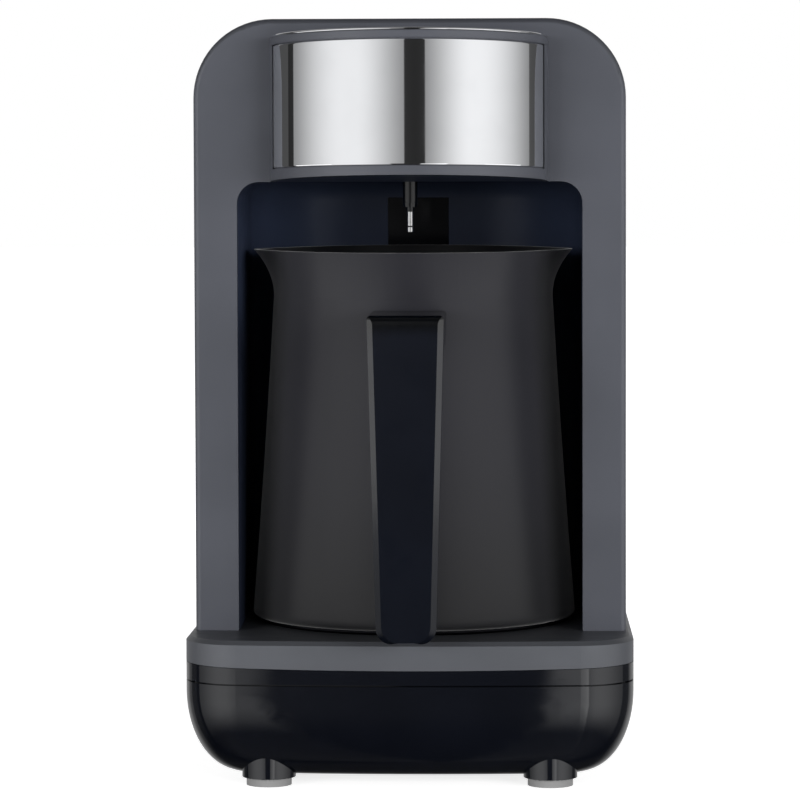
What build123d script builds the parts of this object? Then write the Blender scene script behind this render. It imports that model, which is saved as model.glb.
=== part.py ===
"""Electric Turkish coffee maker: a pot on a hot plate inside an arched tower.

Millimetres. The front faces -Y, +X is to the right of someone facing it, +Z is up.
The origin is the bottom centre of the whole object, pot and handle included.
"""

import math
import os

from build123d import *

# ---- general clearances ----
SEAT_GAP = 0.15         # between mouldings that locate one another
TOUCH_GAP = 0.05        # between a curved face and what it lies against
SHAFT_GAP = 0.05        # radial running clearance
THROUGH = 1.0           # how far a cutting shape runs past what it cuts

# ---- tower ----
TOWER_WIDTH = 142.0
TOWER_TOP = 250.2
TOWER_DEPTH = 118.0
TOWER_CORNER = 26.0     # radius of the top corners, seen from the front
CASING_DEPTH = 90.0     # front casing's part of the depth; the rear cover has the rest
CASING_WALL = 2.4
FACE_ROUND = 1.8        # round along the front edge of the arch
REAR_ROUND = 6.0
NICHE_WIDTH = 113.5
NICHE_TOP = 196.8
NICHE_CORNER = 7.2
NICHE_DEPTH = 96.0      # to the inner back wall
NICHE_BACK_CORNER = 34.0
LINER_WALL = 2.0

# ---- base ----
BASE_REACH = 31.0       # base front ahead of the tower's face
BASE_WIDTH = 147.0      # at its front
BASE_TAPER = 2.0        # how much each side comes in towards the rear
BASE_REAR_LEDGE = 2.5   # base behind the tower
FRONT_BOW = 4.0
BASE_FRONT_CORNER = 19.0
BASE_REAR_CORNER = 24.0
BASE_WALL = 2.4
DECK_TOP = 48.8
DECK_PLATE = 2.5
DECK_BEVEL = 1.4
DECK_BEVEL_ROUND = 0.4
SKIRT_BOTTOM = 39.4     # lower edge of the grey band at the middle
SKIRT_RISE = 1.1        # how much higher that edge is at the sides
SEAM_TOP = 34.2
SEAM_GAP = 0.5
BOWL_WAIST = 31.0       # below this height the bowl turns in
BOWL_BOTTOM = 3.3
BOWL_INSET = 17.5       # how far the bowl turns in at its bottom
BOWL_CORNER_LOSS = 0.5  # how fast the plan corners tighten with the inset
BOWL_SECTIONS = 6

# ---- feet ----
FOOT_SPREAD = 92.0
FOOT_FRONT_SETBACK = 17.0   # front feet behind the base's front edge
FOOT_REAR_SETBACK = 25.0    # rear feet ahead of the base's rear edge
FOOT_HEIGHT = 2.7
FOOT_RADIUS = 7.4
FOOT_BOSS_RADIUS = 8.8
FOOT_SOCKET_DEPTH = 1.2

# ---- hot plate and what hangs under it ----
PLATE_RADIUS = 42.0
PLATE_PROUD = 0.1       # plate above the deck
PLATE_FLANGE = 4.0
PLATE_FLANGE_THICKNESS = 2.0
GASKET_LIP = 0.9
ELEMENT_RING_RADIUS = 30.0
ELEMENT_TUBE_RADIUS = 3.0
ELEMENT_SWEEP = 290.0
ELEMENT_PIN_LENGTH = 6.0
SHIELD_WALL = 0.8
SHIELD_DEPTH = 11.0
SHIELD_HOLE_RADIUS = 14.0
THERMOSTAT_RADIUS = 8.5
THERMOSTAT_HEIGHT = 6.5
THERMOSTAT_EAR_SPAN = 26.0
EAR_THICKNESS = 1.0
BLADE_THICKNESS = 0.8
FUSE_RADIUS = 2.0
FUSE_LENGTH = 11.0
FUSE_OFFSET = 20.0

# ---- pot ----
POT_SETBACK = 37.5      # pot's axis behind the tower's face
POT_FOOT_RADIUS = 54.5
POT_NECK_RADIUS = 47.0
POT_NECK_RISE = 109.3   # neck above the pot's underside
POT_HEIGHT = 124.7
POT_WAIST_HOLLOW = 0.35
POT_WALL = 1.4
POT_HEEL_ROUND = 1.5
RIM_FLARE = 1.5
LIP_REACH = 5.2         # pouring lips beyond the flared rim
LIP_SHARPNESS = 24
RIM_POINTS = 36
RIM_SECTIONS = 4
POT_BASE_RADIUS = 52.6
POT_BASE_THICKNESS = 1.4

# ---- handle ----
HANDLE_REACH = 84.5     # front of the handle from the pot's axis
HANDLE_TOP_RISE = 105.9
HANDLE_BOTTOM_RISE = 0.9
HANDLE_TOP_WIDTH = 24.6
HANDLE_BOTTOM_WIDTH = 19.1
HANDLE_GRIP_THICKNESS = 7.0
HANDLE_BACK_THICKNESS = 4.0
HANDLE_BEND = 3.0       # round at the top of its front, seen from the side
HANDLE_SPLIT_BEND = 1.5
HANDLE_FINGER_BEND = 6.0
HANDLE_BEVEL = 1.8
HANDLE_TOE_BEVEL = 0.6
HANDLE_TOE_ROUND = 5.2
HANDLE_TOP_ROUND = 1.2
BRACKET_WIDTH = 20.0
BRACKET_HEIGHT = 12.5
BRACKET_THICKNESS = 1.1
HANDLE_SCREW_RADIUS = 2.0
HANDLE_SCREW_HEAD = 3.6

# ---- head ----
HEAD_WIDTH = 91.0
HEAD_REACH = 36.0
HEAD_TOP = 244.1        # heights at the tower's face; the head rises towards its front
HEAD_CAP_JOINT = 241.1
BAND_TOP = 240.9
BAND_BOTTOM = 200.65
LIP_BOTTOM = 196.8
HEAD_RISE = 2.3         # rise of its upper edges over the reach
BAND_RISE = 1.65        # rise of the band's lower edge over the reach
LIP_RISE = 2.7          # rise of its underside over the reach
HEAD_WALL = 2.2
BAND_REVEAL = 0.35      # groove round the chrome band
UNDERSIDE_INSET = 1.8   # lip round the dark plate under the head
UNDERSIDE_THICKNESS = 1.2
BAND_THICKNESS = 0.8
BAND_WIDTH = 88.6
CAP_ROUND = 0.8
HEAD_PORT_WIDTH = 60.0
HEAD_PORT_HEIGHT = 28.0
HEAD_PORT_BOTTOM = 207.0

# ---- button and control board ----
BUTTON_RADIUS = 11.0
BUTTON_THICKNESS = 3.0
BUTTON_SETBACK = 0.7    # button's top below the cap's top
BUTTON_TRAVEL = 1.2
BUTTON_DISH = 0.7
BUTTON_Y_REACH = 16.0   # button's centre ahead of the tower's face
BUTTON_GAP = 0.35
BUTTON_FLANGE = 1.6
BUTTON_FLANGE_THICKNESS = 1.0
RING_WIDTH = 1.6
RING_LEDGE = 0.8
PLUNGER_RADIUS = 1.7
PLUNGER_LENGTH = 3.4
SWITCH_SIDE = 6.2
SWITCH_HEIGHT = 3.6
BOARD_THICKNESS = 1.6
CONTROL_BOARD_WIDTH = 66.0
CONTROL_BOARD_REACH = 27.0
BOARD_POST_RADIUS = 2.6
CAP_POST_SPREAD = 50.0
CAP_POST_Y_REACH = 8.0
BUZZER_RADIUS = 6.0
BUZZER_HEIGHT = 5.0
BUZZER_OFFSET = 20.0

# ---- foam probe ----
PROBE_SETBACK = 8.0
SLEEVE_RADIUS = 2.45
SLEEVE_DROP = 6.75
SLEEVE_END_RADIUS = 2.2     # lower end of the tapered piece under the sleeve's groove
SLEEVE_END_DROP = 8.45
SLEEVE_GROOVE = 0.3
PIN_COVER_RADIUS = 1.3
PIN_COVER_DROP = 10.05
SLEEVE_COLLAR_RADIUS = 3.4
SLEEVE_COLLAR_HEIGHT = 3.0
ELECTRODE_RADIUS = 1.0
ELECTRODE_DROP = 14.65
INSULATOR_HEIGHT = 0.5
PROBE_TIP_LENGTH = 1.9

# ---- sensor window ----
WINDOW_WIDTH = 21.4
WINDOW_HEIGHT = 42.0
WINDOW_TOP = 190.0
WINDOW_THICKNESS = 1.6
WINDOW_FLANGE = 1.6
SENSOR_BOARD_HEIGHT = 24.0
SENSOR_POST_LENGTH = 4.0

# ---- power electronics ----
POWER_BOARD_WIDTH = 84.0
POWER_BOARD_HEIGHT = 78.0
POWER_BOARD_BOTTOM = 78.0
POWER_POST_LENGTH = 4.6
POWER_POST_INSET = 5.0
RELAY_SIZE = (19.0, 6.5, 15.0)
TRANSFORMER_SIZE = (26.0, 7.0, 22.0)
COMPONENT_ROUND = 1.0

# ---- screws ----
SCREW_SHANK = 1.5
SCREW_HEAD_RADIUS = 2.8
SCREW_HEAD_HEIGHT = 1.8
BOSS_RADIUS = 4.0
BASE_POST_X = 52.0
BASE_POST_INSET = 42.0
BASE_POST_FLOOR = 9.0
COVER_SCREW_HEIGHTS = (66.0, 214.0)
COVER_BOSS_LENGTH = 22.0
COVER_LIP_LENGTH = 3.0
COVER_LIP_WALL = 1.2
BOARD_SCREW_RADIUS = 1.2
BOARD_SCREW_HEAD = 2.2
BOARD_SCREW_HEAD_HEIGHT = 1.2
BOARD_SCREW_LENGTH = 5.0

# ---- vents and cord inlet ----
VENT_LENGTH = 46.0
VENT_WIDTH = 2.4
VENT_PITCH = 5.4
VENT_COUNT = 8
VENT_BOTTOM = 184.0
BASE_VENT_COUNT = 7
BASE_VENT_LENGTH = 30.0
BASE_VENT_PITCH = 7.0
GLAND_HEIGHT = 62.0
GLAND_BORE = 3.5
GLAND_RADIUS = 5.5
GLAND_FLANGE_RADIUS = 7.2
GLAND_FLANGE = 1.4
GLAND_LENGTH = 12.0

# ---- places worked out from the sizes above ----
HANDLE_FRONT_REACH = HANDLE_REACH - POT_SETBACK
FACE_Y = (HANDLE_FRONT_REACH - TOWER_DEPTH - BASE_REAR_LEDGE) / 2
POT_Y = FACE_Y + POT_SETBACK
REAR_Y = FACE_Y + TOWER_DEPTH
JOINT_Y = FACE_Y + CASING_DEPTH
BASE_FRONT_Y = FACE_Y - BASE_REACH
BASE_REAR_Y = REAR_Y + BASE_REAR_LEDGE
TOWER_HALF = TOWER_WIDTH / 2
INNER_HALF = TOWER_HALF - CASING_WALL
INNER_CORNER = TOWER_CORNER - CASING_WALL
BASE_HALF = BASE_WIDTH / 2
NICHE_HALF = NICHE_WIDTH / 2
LINER_BACK_Y = FACE_Y + NICHE_DEPTH + LINER_WALL
PLATE_TOP = DECK_TOP + PLATE_PROUD
POT_Z = PLATE_TOP + TOUCH_GAP
DECK_UNDERSIDE = DECK_TOP - DECK_PLATE
GASKET_HEIGHT = 1.1
FLANGE_TOP = DECK_UNDERSIDE - GASKET_HEIGHT
PLATE_BOTTOM = FLANGE_TOP - PLATE_FLANGE_THICKNESS
BUTTON_Y = FACE_Y - BUTTON_Y_REACH
COVER_BOSS_X = INNER_HALF - BOSS_RADIUS + 1.0
CASING_BOSS_REAR = JOINT_Y - COVER_LIP_LENGTH - SEAT_GAP
POWER_BOARD_Y = REAR_Y - CASING_WALL - POWER_POST_LENGTH - BOARD_THICKNESS


# ---- helpers ----
def write(name, *shapes):
    """Write one node, made of one or more solids."""
    shape = shapes[0] if len(shapes) == 1 else Compound(children=list(shapes))
    export_step(shape, f"parts/{name}.step")


def disc(radius, bottom, top, x=0.0, y=0.0):
    """Upright cylinder between two heights."""
    return Pos(x, y, (bottom + top) / 2) * Cylinder(radius, top - bottom)


def rod_y(radius, front, rear, x, z):
    """Cylinder along Y between two places."""
    return Pos(x, (front + rear) / 2, z) * Rot(90, 0, 0) * Cylinder(radius, rear - front)


def block(x_low, x_high, y_low, y_high, z_low, z_high):
    """Box between two corners."""
    centre = Pos((x_low + x_high) / 2, (y_low + y_high) / 2, (z_low + z_high) / 2)
    return centre * Box(x_high - x_low, y_high - y_low, z_high - z_low)


def stand(sketch, front, rear):
    """Extrude an outline drawn as seen from the front, between two depths."""
    return extrude(Plane.XZ.offset(-front) * sketch, amount=front - rear)


def arch(half_width, bottom, top, corner):
    """Outline with two round top corners, as seen from the front."""
    outline = Pos(0, (bottom + top) / 2) * Rectangle(2 * half_width, top - bottom)
    return fillet(outline.vertices().sort_by(Axis.Y)[-2:], corner)


# ---- tower ----
def front_edge_loop(solid, y):
    """Edges of the arch in the plane at y, without the one at its foot."""
    edges = solid.faces().sort_by(Axis.Y)[0 if y < 0 else -1].edges()
    return edges.filter_by(lambda edge: edge.center().Z > DECK_TOP + THROUGH)


def tower_front():
    """Front casing: an arch shell with the niche cut through its face."""
    shell = stand(arch(TOWER_HALF, DECK_TOP, TOWER_TOP, TOWER_CORNER), FACE_Y, JOINT_Y)
    shell = fillet(front_edge_loop(shell, FACE_Y), FACE_ROUND)
    hollow = arch(INNER_HALF, DECK_TOP - THROUGH, TOWER_TOP - CASING_WALL, INNER_CORNER)
    shell -= stand(hollow, FACE_Y + CASING_WALL, JOINT_Y + THROUGH)
    niche = arch(NICHE_HALF, DECK_TOP - THROUGH, NICHE_TOP, NICHE_CORNER)
    shell -= stand(niche, FACE_Y - THROUGH, FACE_Y + 2 * CASING_WALL)
    port_top = HEAD_PORT_BOTTOM + HEAD_PORT_HEIGHT
    shell -= block(-HEAD_PORT_WIDTH / 2, HEAD_PORT_WIDTH / 2, FACE_Y - THROUGH,
                   FACE_Y + 2 * CASING_WALL, HEAD_PORT_BOTTOM, port_top)
    for side in (-1, 1):
        for height in COVER_SCREW_HEIGHTS:
            x = side * COVER_BOSS_X
            boss = rod_y(BOSS_RADIUS, CASING_BOSS_REAR - COVER_BOSS_LENGTH, CASING_BOSS_REAR, x, height)
            boss -= rod_y(SCREW_SHANK + SHAFT_GAP, CASING_BOSS_REAR - COVER_BOSS_LENGTH / 2,
                          CASING_BOSS_REAR + THROUGH, x, height)
            shell += boss
    return shell


def liner_block(half_width, rear, top, back_corner, top_corner):
    """Solid of the niche's room: flat front, round back corners and round ceiling edges."""
    front = FACE_Y + CASING_WALL + SEAT_GAP
    solid = block(-half_width, half_width, front, rear, DECK_TOP, top)
    uprights = solid.edges().filter_by(Axis.Z).sort_by(Axis.Y)[-2:]
    solid = fillet(uprights, back_corner)
    ceiling = solid.faces().sort_by(Axis.Z)[-1].edges()
    ceiling = ceiling.filter_by(lambda edge: edge.center().Y > front + THROUGH)
    return fillet(ceiling, top_corner)


def niche_liner():
    """Dark inner wall of the niche, open to the front and at its foot."""
    outer = liner_block(NICHE_HALF + LINER_WALL, LINER_BACK_Y, NICHE_TOP + LINER_WALL,
                        NICHE_BACK_CORNER + LINER_WALL, NICHE_CORNER + LINER_WALL)
    room = liner_block(NICHE_HALF, FACE_Y + NICHE_DEPTH, NICHE_TOP, NICHE_BACK_CORNER, NICHE_CORNER)
    room += Pos(0, -THROUGH, 0) * room + Pos(0, 0, -THROUGH) * room
    liner = outer - room
    liner -= disc(SLEEVE_RADIUS + SHAFT_GAP, NICHE_TOP - THROUGH, NICHE_TOP + LINER_WALL + THROUGH,
                  y=FACE_Y + PROBE_SETBACK)
    window = WINDOW_WIDTH / 2
    liner -= block(-window, window, FACE_Y + NICHE_DEPTH - THROUGH, LINER_BACK_Y + THROUGH,
                   WINDOW_TOP - WINDOW_HEIGHT, WINDOW_TOP)
    for x, z in sensor_posts():
        liner += rod_y(BOARD_POST_RADIUS, LINER_BACK_Y, LINER_BACK_Y + SENSOR_POST_LENGTH, x, z)
        liner -= rod_y(BOARD_SCREW_RADIUS + SHAFT_GAP, LINER_BACK_Y,
                       LINER_BACK_Y + SENSOR_POST_LENGTH + THROUGH, x, z)
    return liner


def sensor_posts():
    """The two posts, beside the window, that carry the sensor board."""
    x = WINDOW_WIDTH / 2 + WINDOW_FLANGE + BOARD_POST_RADIUS + SEAT_GAP
    z = WINDOW_TOP - SENSOR_BOARD_HEIGHT / 2
    return [(-x, z), (x, z)]


def sensor_window():
    """Dark pane, flush with the niche's back wall, with a flange behind it."""
    half = WINDOW_WIDTH / 2 - SEAT_GAP
    low, high = WINDOW_TOP - WINDOW_HEIGHT + SEAT_GAP, WINDOW_TOP - SEAT_GAP
    pane = block(-half, half, FACE_Y + NICHE_DEPTH + SEAT_GAP, LINER_BACK_Y, low, high)
    reach = WINDOW_FLANGE
    return pane + block(-half - reach, half + reach, LINER_BACK_Y, LINER_BACK_Y + WINDOW_THICKNESS,
                        low - reach, high + reach)


def sensor_board():
    """Small board behind the window, with its two light parts."""
    half = sensor_posts()[1][0] + BOARD_POST_RADIUS
    front = LINER_BACK_Y + SENSOR_POST_LENGTH
    low = WINDOW_TOP - SENSOR_BOARD_HEIGHT
    board = block(-half, half, front, front + BOARD_THICKNESS, low, WINDOW_TOP)
    for x, z in sensor_posts():
        board -= rod_y(BOARD_SCREW_RADIUS + SHAFT_GAP, front - THROUGH,
                       front + BOARD_THICKNESS + THROUGH, x, z)
    light_radius, light_length = 1.5, 2.0
    for z in (low + SENSOR_BOARD_HEIGHT / 3, WINDOW_TOP - SENSOR_BOARD_HEIGHT / 3):
        board += rod_y(light_radius, front - light_length, front, 0, z)
    return board


def rear_cover():
    """Back of the tower: a deep lid with a locating lip, screw tubes and vents."""
    cover = stand(arch(TOWER_HALF, DECK_TOP, TOWER_TOP, TOWER_CORNER), JOINT_Y, REAR_Y)
    cover = fillet(front_edge_loop(cover, REAR_Y), REAR_ROUND)
    top = TOWER_TOP - CASING_WALL
    hollow = arch(INNER_HALF, DECK_TOP - THROUGH, top, INNER_CORNER)
    cover -= stand(hollow, JOINT_Y - THROUGH, REAR_Y - CASING_WALL)
    lip = arch(INNER_HALF - SEAT_GAP, DECK_TOP, top - SEAT_GAP, INNER_CORNER - SEAT_GAP)
    inset = SEAT_GAP + COVER_LIP_WALL
    lip_hollow = arch(INNER_HALF - inset, DECK_TOP - THROUGH, top - inset, INNER_CORNER - inset)
    lip_root = arch(INNER_HALF + THROUGH, DECK_TOP, top + THROUGH, INNER_CORNER + THROUGH)
    lip_block = stand(lip, JOINT_Y - COVER_LIP_LENGTH, JOINT_Y)
    collar = lip_block + stand(lip_root, JOINT_Y, JOINT_Y + CASING_WALL)
    cover += collar - stand(lip_hollow, JOINT_Y - COVER_LIP_LENGTH - THROUGH,
                            JOINT_Y + CASING_WALL + THROUGH)
    for side in (-1, 1):
        for height in COVER_SCREW_HEIGHTS:
            x = side * COVER_BOSS_X
            cover += rod_y(BOSS_RADIUS, JOINT_Y, REAR_Y - CASING_WALL / 2, x, height)
            cover += rod_y(BOSS_RADIUS, JOINT_Y - COVER_LIP_LENGTH, JOINT_Y, x, height) & lip_block
            cover -= rod_y(SCREW_SHANK + SEAT_GAP, CASING_BOSS_REAR, REAR_Y + THROUGH, x, height)
            cover -= rod_y(SCREW_HEAD_RADIUS + SEAT_GAP, cover_screw_seat(), REAR_Y + THROUGH, x, height)
    for x, z in power_posts():
        post = rod_y(BOARD_POST_RADIUS, POWER_BOARD_Y + BOARD_THICKNESS, REAR_Y - CASING_WALL / 2, x, z)
        cover += post
        cover -= rod_y(BOARD_SCREW_RADIUS + SHAFT_GAP, POWER_BOARD_Y, REAR_Y - CASING_WALL, x, z)
    vent = SlotOverall(VENT_LENGTH, VENT_WIDTH)
    for row in range(VENT_COUNT):
        slot = Pos(0, VENT_BOTTOM + row * VENT_PITCH) * vent
        cover -= stand(slot, REAR_Y - 2 * CASING_WALL, REAR_Y + THROUGH)
    cover -= rod_y(GLAND_RADIUS + SHAFT_GAP, REAR_Y - 2 * CASING_WALL, REAR_Y + THROUGH, 0, GLAND_HEIGHT)
    return cover


def cover_screw_seat():
    """Depth at which the cover screws' heads sit, inside their tubes."""
    return REAR_Y - 2 * CASING_WALL - SCREW_HEAD_HEIGHT


def cover_screws():
    """Four screws that hold the rear cover."""
    seat = cover_screw_seat()
    screws = []
    for side in (-1, 1):
        for height in COVER_SCREW_HEIGHTS:
            x = side * COVER_BOSS_X
            shank = rod_y(SCREW_SHANK, CASING_BOSS_REAR - COVER_BOSS_LENGTH / 2 + THROUGH, seat, x, height)
            screws.append(shank + rod_y(SCREW_HEAD_RADIUS, seat, seat + SCREW_HEAD_HEIGHT, x, height))
    return screws


def cord_gland():
    """Flanged bush that lines the mains lead's hole."""
    inner_end = REAR_Y + GLAND_FLANGE - GLAND_LENGTH
    bush = rod_y(GLAND_RADIUS, inner_end, REAR_Y + TOUCH_GAP, 0, GLAND_HEIGHT)
    bush += rod_y(GLAND_FLANGE_RADIUS, REAR_Y, REAR_Y + GLAND_FLANGE, 0, GLAND_HEIGHT)
    return bush - rod_y(GLAND_BORE, inner_end - THROUGH, REAR_Y + GLAND_FLANGE + THROUGH, 0, GLAND_HEIGHT)


# ---- base ----
def base_plan(inset, tighten):
    """Plan of the base drawn in by an inset, with its corners tightened."""
    half = BASE_HALF - inset
    tail = half - BASE_TAPER
    front, rear = BASE_FRONT_Y + inset, BASE_REAR_Y - inset
    shoulder = front + FRONT_BOW
    outline = Curve() + [
        Line((half, shoulder), (tail, rear)),
        Line((tail, rear), (-tail, rear)),
        Line((-tail, rear), (-half, shoulder)),
        ThreePointArc((-half, shoulder), (0, front), (half, shoulder)),
    ]
    plan = make_face(outline)
    plan = fillet(plan.vertices().sort_by(Axis.Y)[:2], BASE_FRONT_CORNER - tighten)
    return fillet(plan.vertices().sort_by(Axis.Y)[-2:], BASE_REAR_CORNER - tighten)


def wall_plan(inset):
    """Plan of the base offset inwards by a wall."""
    return base_plan(inset, inset)


def bowl(wall, top):
    """Solid of the bowl, inside a wall thickness: upright above its waist, turned in below."""
    sections = []
    for step in range(BOWL_SECTIONS + 1):
        angle = math.radians(90 * step / BOWL_SECTIONS)
        inset = BOWL_INSET * (1 - math.cos(angle))
        height = BOWL_WAIST - (BOWL_WAIST - BOWL_BOTTOM - wall) * math.sin(angle)
        plan = base_plan(inset + wall, BOWL_CORNER_LOSS * inset + wall)
        sections.append(Pos(0, 0, height) * plan)
    upright = extrude(Pos(0, 0, BOWL_WAIST) * wall_plan(wall), amount=top - BOWL_WAIST)
    return loft(sections) + upright


def foot_places():
    """Centres of the four feet."""
    fronts = (BASE_FRONT_Y + FOOT_FRONT_SETBACK, BASE_REAR_Y - FOOT_REAR_SETBACK)
    return [(side * FOOT_SPREAD / 2, y) for side in (-1, 1) for y in fronts]


def post_places():
    """Centres of the four posts that join the bowl and the deck."""
    rows = (BASE_FRONT_Y + BASE_POST_INSET, BASE_REAR_Y - BASE_POST_INSET)
    return [(side * BASE_POST_X, y) for side in (-1, 1) for y in rows]


def base_pan():
    """Bowl with its foot bosses, screw posts and vents."""
    outer = bowl(0.0, SEAM_TOP)
    pan = outer - bowl(BASE_WALL, SEAM_TOP + THROUGH)
    for x, y in post_places():
        pan += disc(BOSS_RADIUS, BOWL_BOTTOM, SEAM_TOP, x, y) & outer
    for x, y in foot_places():
        boss = disc(FOOT_BOSS_RADIUS, FOOT_HEIGHT, BOWL_WAIST / 2, x, y)
        pan += boss - bowl(BASE_WALL / 2, SEAM_TOP)
        pan -= disc(FOOT_RADIUS + SEAT_GAP, FOOT_HEIGHT - THROUGH, FOOT_HEIGHT + FOOT_SOCKET_DEPTH, x, y)
    for x, y in post_places():
        pan -= disc(SCREW_SHANK + SEAT_GAP, 0, SEAM_TOP + THROUGH, x, y)
        pan -= disc(SCREW_HEAD_RADIUS + SEAT_GAP, 0, BASE_POST_FLOOR, x, y)
    vent = SlotOverall(BASE_VENT_LENGTH, VENT_WIDTH)
    for row in range(BASE_VENT_COUNT):
        y = POT_Y + (row - (BASE_VENT_COUNT - 1) / 2) * BASE_VENT_PITCH
        pan -= extrude(Pos(0, y, 0) * vent, amount=BOWL_BOTTOM + BASE_WALL + THROUGH)
    return pan


def arch_cutter(height):
    """Large cylinder whose lowest line bounds the grey band: it rises towards the sides."""
    radius = BASE_HALF ** 2 / (2 * SKIRT_RISE)
    length = 2 * (BASE_REACH + TOWER_DEPTH)
    return Pos(0, 0, height + radius) * Rot(90, 0, 0) * Cylinder(radius, length)


def base_belt():
    """Gloss ring between the seam and the grey band."""
    ring_bottom = SEAM_TOP + SEAM_GAP
    ring = extrude(Pos(0, 0, ring_bottom) * wall_plan(0), amount=DECK_UNDERSIDE - ring_bottom)
    ring -= arch_cutter(SKIRT_BOTTOM - SEAT_GAP)
    tongue_in = BASE_WALL + SEAT_GAP
    tongue_bottom = SEAM_TOP - BASE_WALL
    tongue_height = DECK_UNDERSIDE - SEAT_GAP - tongue_bottom
    ring += extrude(Pos(0, 0, tongue_bottom) * wall_plan(tongue_in), amount=tongue_height)
    bore = extrude(Pos(0, 0, tongue_bottom - THROUGH) * wall_plan(tongue_in + BASE_WALL / 2),
                   amount=tongue_height + 2 * THROUGH)
    return ring - bore


def deck():
    """Grey top of the base, with its skirt, plate hole and screw bosses."""
    block_height = DECK_TOP - SKIRT_BOTTOM
    solid = extrude(Pos(0, 0, SKIRT_BOTTOM) * wall_plan(0), amount=block_height)
    solid = chamfer(solid.faces().sort_by(Axis.Z)[-1].edges(), DECK_BEVEL)
    solid = fillet(solid.faces().sort_by(Axis.Z)[-1].edges(), DECK_BEVEL_ROUND)
    solid &= arch_cutter(SKIRT_BOTTOM)
    room = extrude(Pos(0, 0, SKIRT_BOTTOM - THROUGH) * wall_plan(BASE_WALL),
                   amount=DECK_UNDERSIDE - SKIRT_BOTTOM + THROUGH)
    solid -= room
    for x, y in post_places():
        solid += disc(BOSS_RADIUS, SEAM_TOP + TOUCH_GAP, DECK_UNDERSIDE, x, y)
        solid -= disc(SCREW_SHANK + SHAFT_GAP, SEAM_TOP, DECK_UNDERSIDE, x, y)
    plate_hole = PLATE_RADIUS + GASKET_LIP + 2 * TOUCH_GAP
    return solid - disc(plate_hole, DECK_UNDERSIDE - THROUGH, DECK_TOP + THROUGH, y=POT_Y)


def base_screws():
    """Four screws from below, through the bowl's posts into the deck's bosses."""
    screws = []
    head_bottom = BASE_POST_FLOOR - SCREW_HEAD_HEIGHT
    for x, y in post_places():
        shank = disc(SCREW_SHANK, BASE_POST_FLOOR, DECK_UNDERSIDE - THROUGH, x, y)
        screws.append(shank + disc(SCREW_HEAD_RADIUS, head_bottom, BASE_POST_FLOOR, x, y))
    return screws


def rubber_feet():
    """Four pads, each seated in the socket of its boss."""
    return [disc(FOOT_RADIUS, 0, FOOT_HEIGHT + FOOT_SOCKET_DEPTH, x, y) for x, y in foot_places()]


# ---- hot plate ----
def hot_plate():
    """Heated disc with the flange that holds it under the deck."""
    plate = disc(PLATE_RADIUS, FLANGE_TOP, PLATE_TOP, y=POT_Y)
    plate = fillet(plate.edges().sort_by(Axis.Z)[-1], PLATE_PROUD)
    return plate + disc(PLATE_RADIUS + PLATE_FLANGE, PLATE_BOTTOM, FLANGE_TOP, y=POT_Y)


def plate_gasket():
    """Soft ring, L-shaped in section, between plate and deck."""
    ring = disc(PLATE_RADIUS + PLATE_FLANGE, FLANGE_TOP, DECK_UNDERSIDE, y=POT_Y)
    ring += disc(PLATE_RADIUS + GASKET_LIP, FLANGE_TOP, DECK_TOP, y=POT_Y)
    return ring - disc(PLATE_RADIUS + TOUCH_GAP, FLANGE_TOP - THROUGH, DECK_TOP + THROUGH, y=POT_Y)


def heating_element():
    """Open ring of sheathed tube under the plate, with two pins that turn down."""
    z = PLATE_BOTTOM - ELEMENT_TUBE_RADIUS - TOUCH_GAP
    start = 90 + (360 - ELEMENT_SWEEP) / 2
    path = Pos(0, POT_Y, z) * CenterArc((0, 0), ELEMENT_RING_RADIUS, start, ELEMENT_SWEEP)
    section = Plane(origin=path @ 0, z_dir=path % 0) * Circle(ELEMENT_TUBE_RADIUS)
    tube = sweep(section, path=path)
    for end in (path @ 0, path @ 1):
        tube += disc(ELEMENT_TUBE_RADIUS / 2, z - ELEMENT_PIN_LENGTH, z, end.X, end.Y)
    return tube


def heat_shield():
    """Pressed dish that keeps the element's heat from the bowl."""
    bottom = PLATE_BOTTOM - SHIELD_DEPTH
    radius = PLATE_RADIUS + PLATE_FLANGE
    dish = disc(radius, bottom, PLATE_BOTTOM, y=POT_Y)
    dish = fillet(dish.edges().sort_by(Axis.Z)[0], SHIELD_WALL * 3)
    inner = disc(radius - SHIELD_WALL, bottom + SHIELD_WALL, PLATE_BOTTOM + THROUGH, y=POT_Y)
    dish -= fillet(inner.edges().sort_by(Axis.Z)[0], SHIELD_WALL * 2)
    dish -= disc(SHIELD_HOLE_RADIUS, bottom - THROUGH, PLATE_BOTTOM, y=POT_Y)
    z = PLATE_BOTTOM - ELEMENT_TUBE_RADIUS
    start = 90 + (360 - ELEMENT_SWEEP) / 2
    for turn in (start, start + ELEMENT_SWEEP):
        x = ELEMENT_RING_RADIUS * math.cos(math.radians(turn))
        y = POT_Y + ELEMENT_RING_RADIUS * math.sin(math.radians(turn))
        dish -= disc(ELEMENT_TUBE_RADIUS, bottom - THROUGH, z, x, y)
    return dish


def thermostat():
    """Disc thermostat with two ears, flat against the plate's underside."""
    top = PLATE_BOTTOM
    body = disc(THERMOSTAT_RADIUS, top - THERMOSTAT_HEIGHT, top, y=POT_Y)
    ear_plan = SlotOverall(THERMOSTAT_EAR_SPAN, THERMOSTAT_RADIUS)
    ears = Pos(0, POT_Y, top - EAR_THICKNESS) * extrude(ear_plan, amount=EAR_THICKNESS)
    half = THERMOSTAT_RADIUS / 2
    blade = block(-half, half, POT_Y - BLADE_THICKNESS / 2, POT_Y + BLADE_THICKNESS / 2,
                  top - 2 * THERMOSTAT_HEIGHT, top - THERMOSTAT_HEIGHT)
    return body + ears + blade


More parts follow.
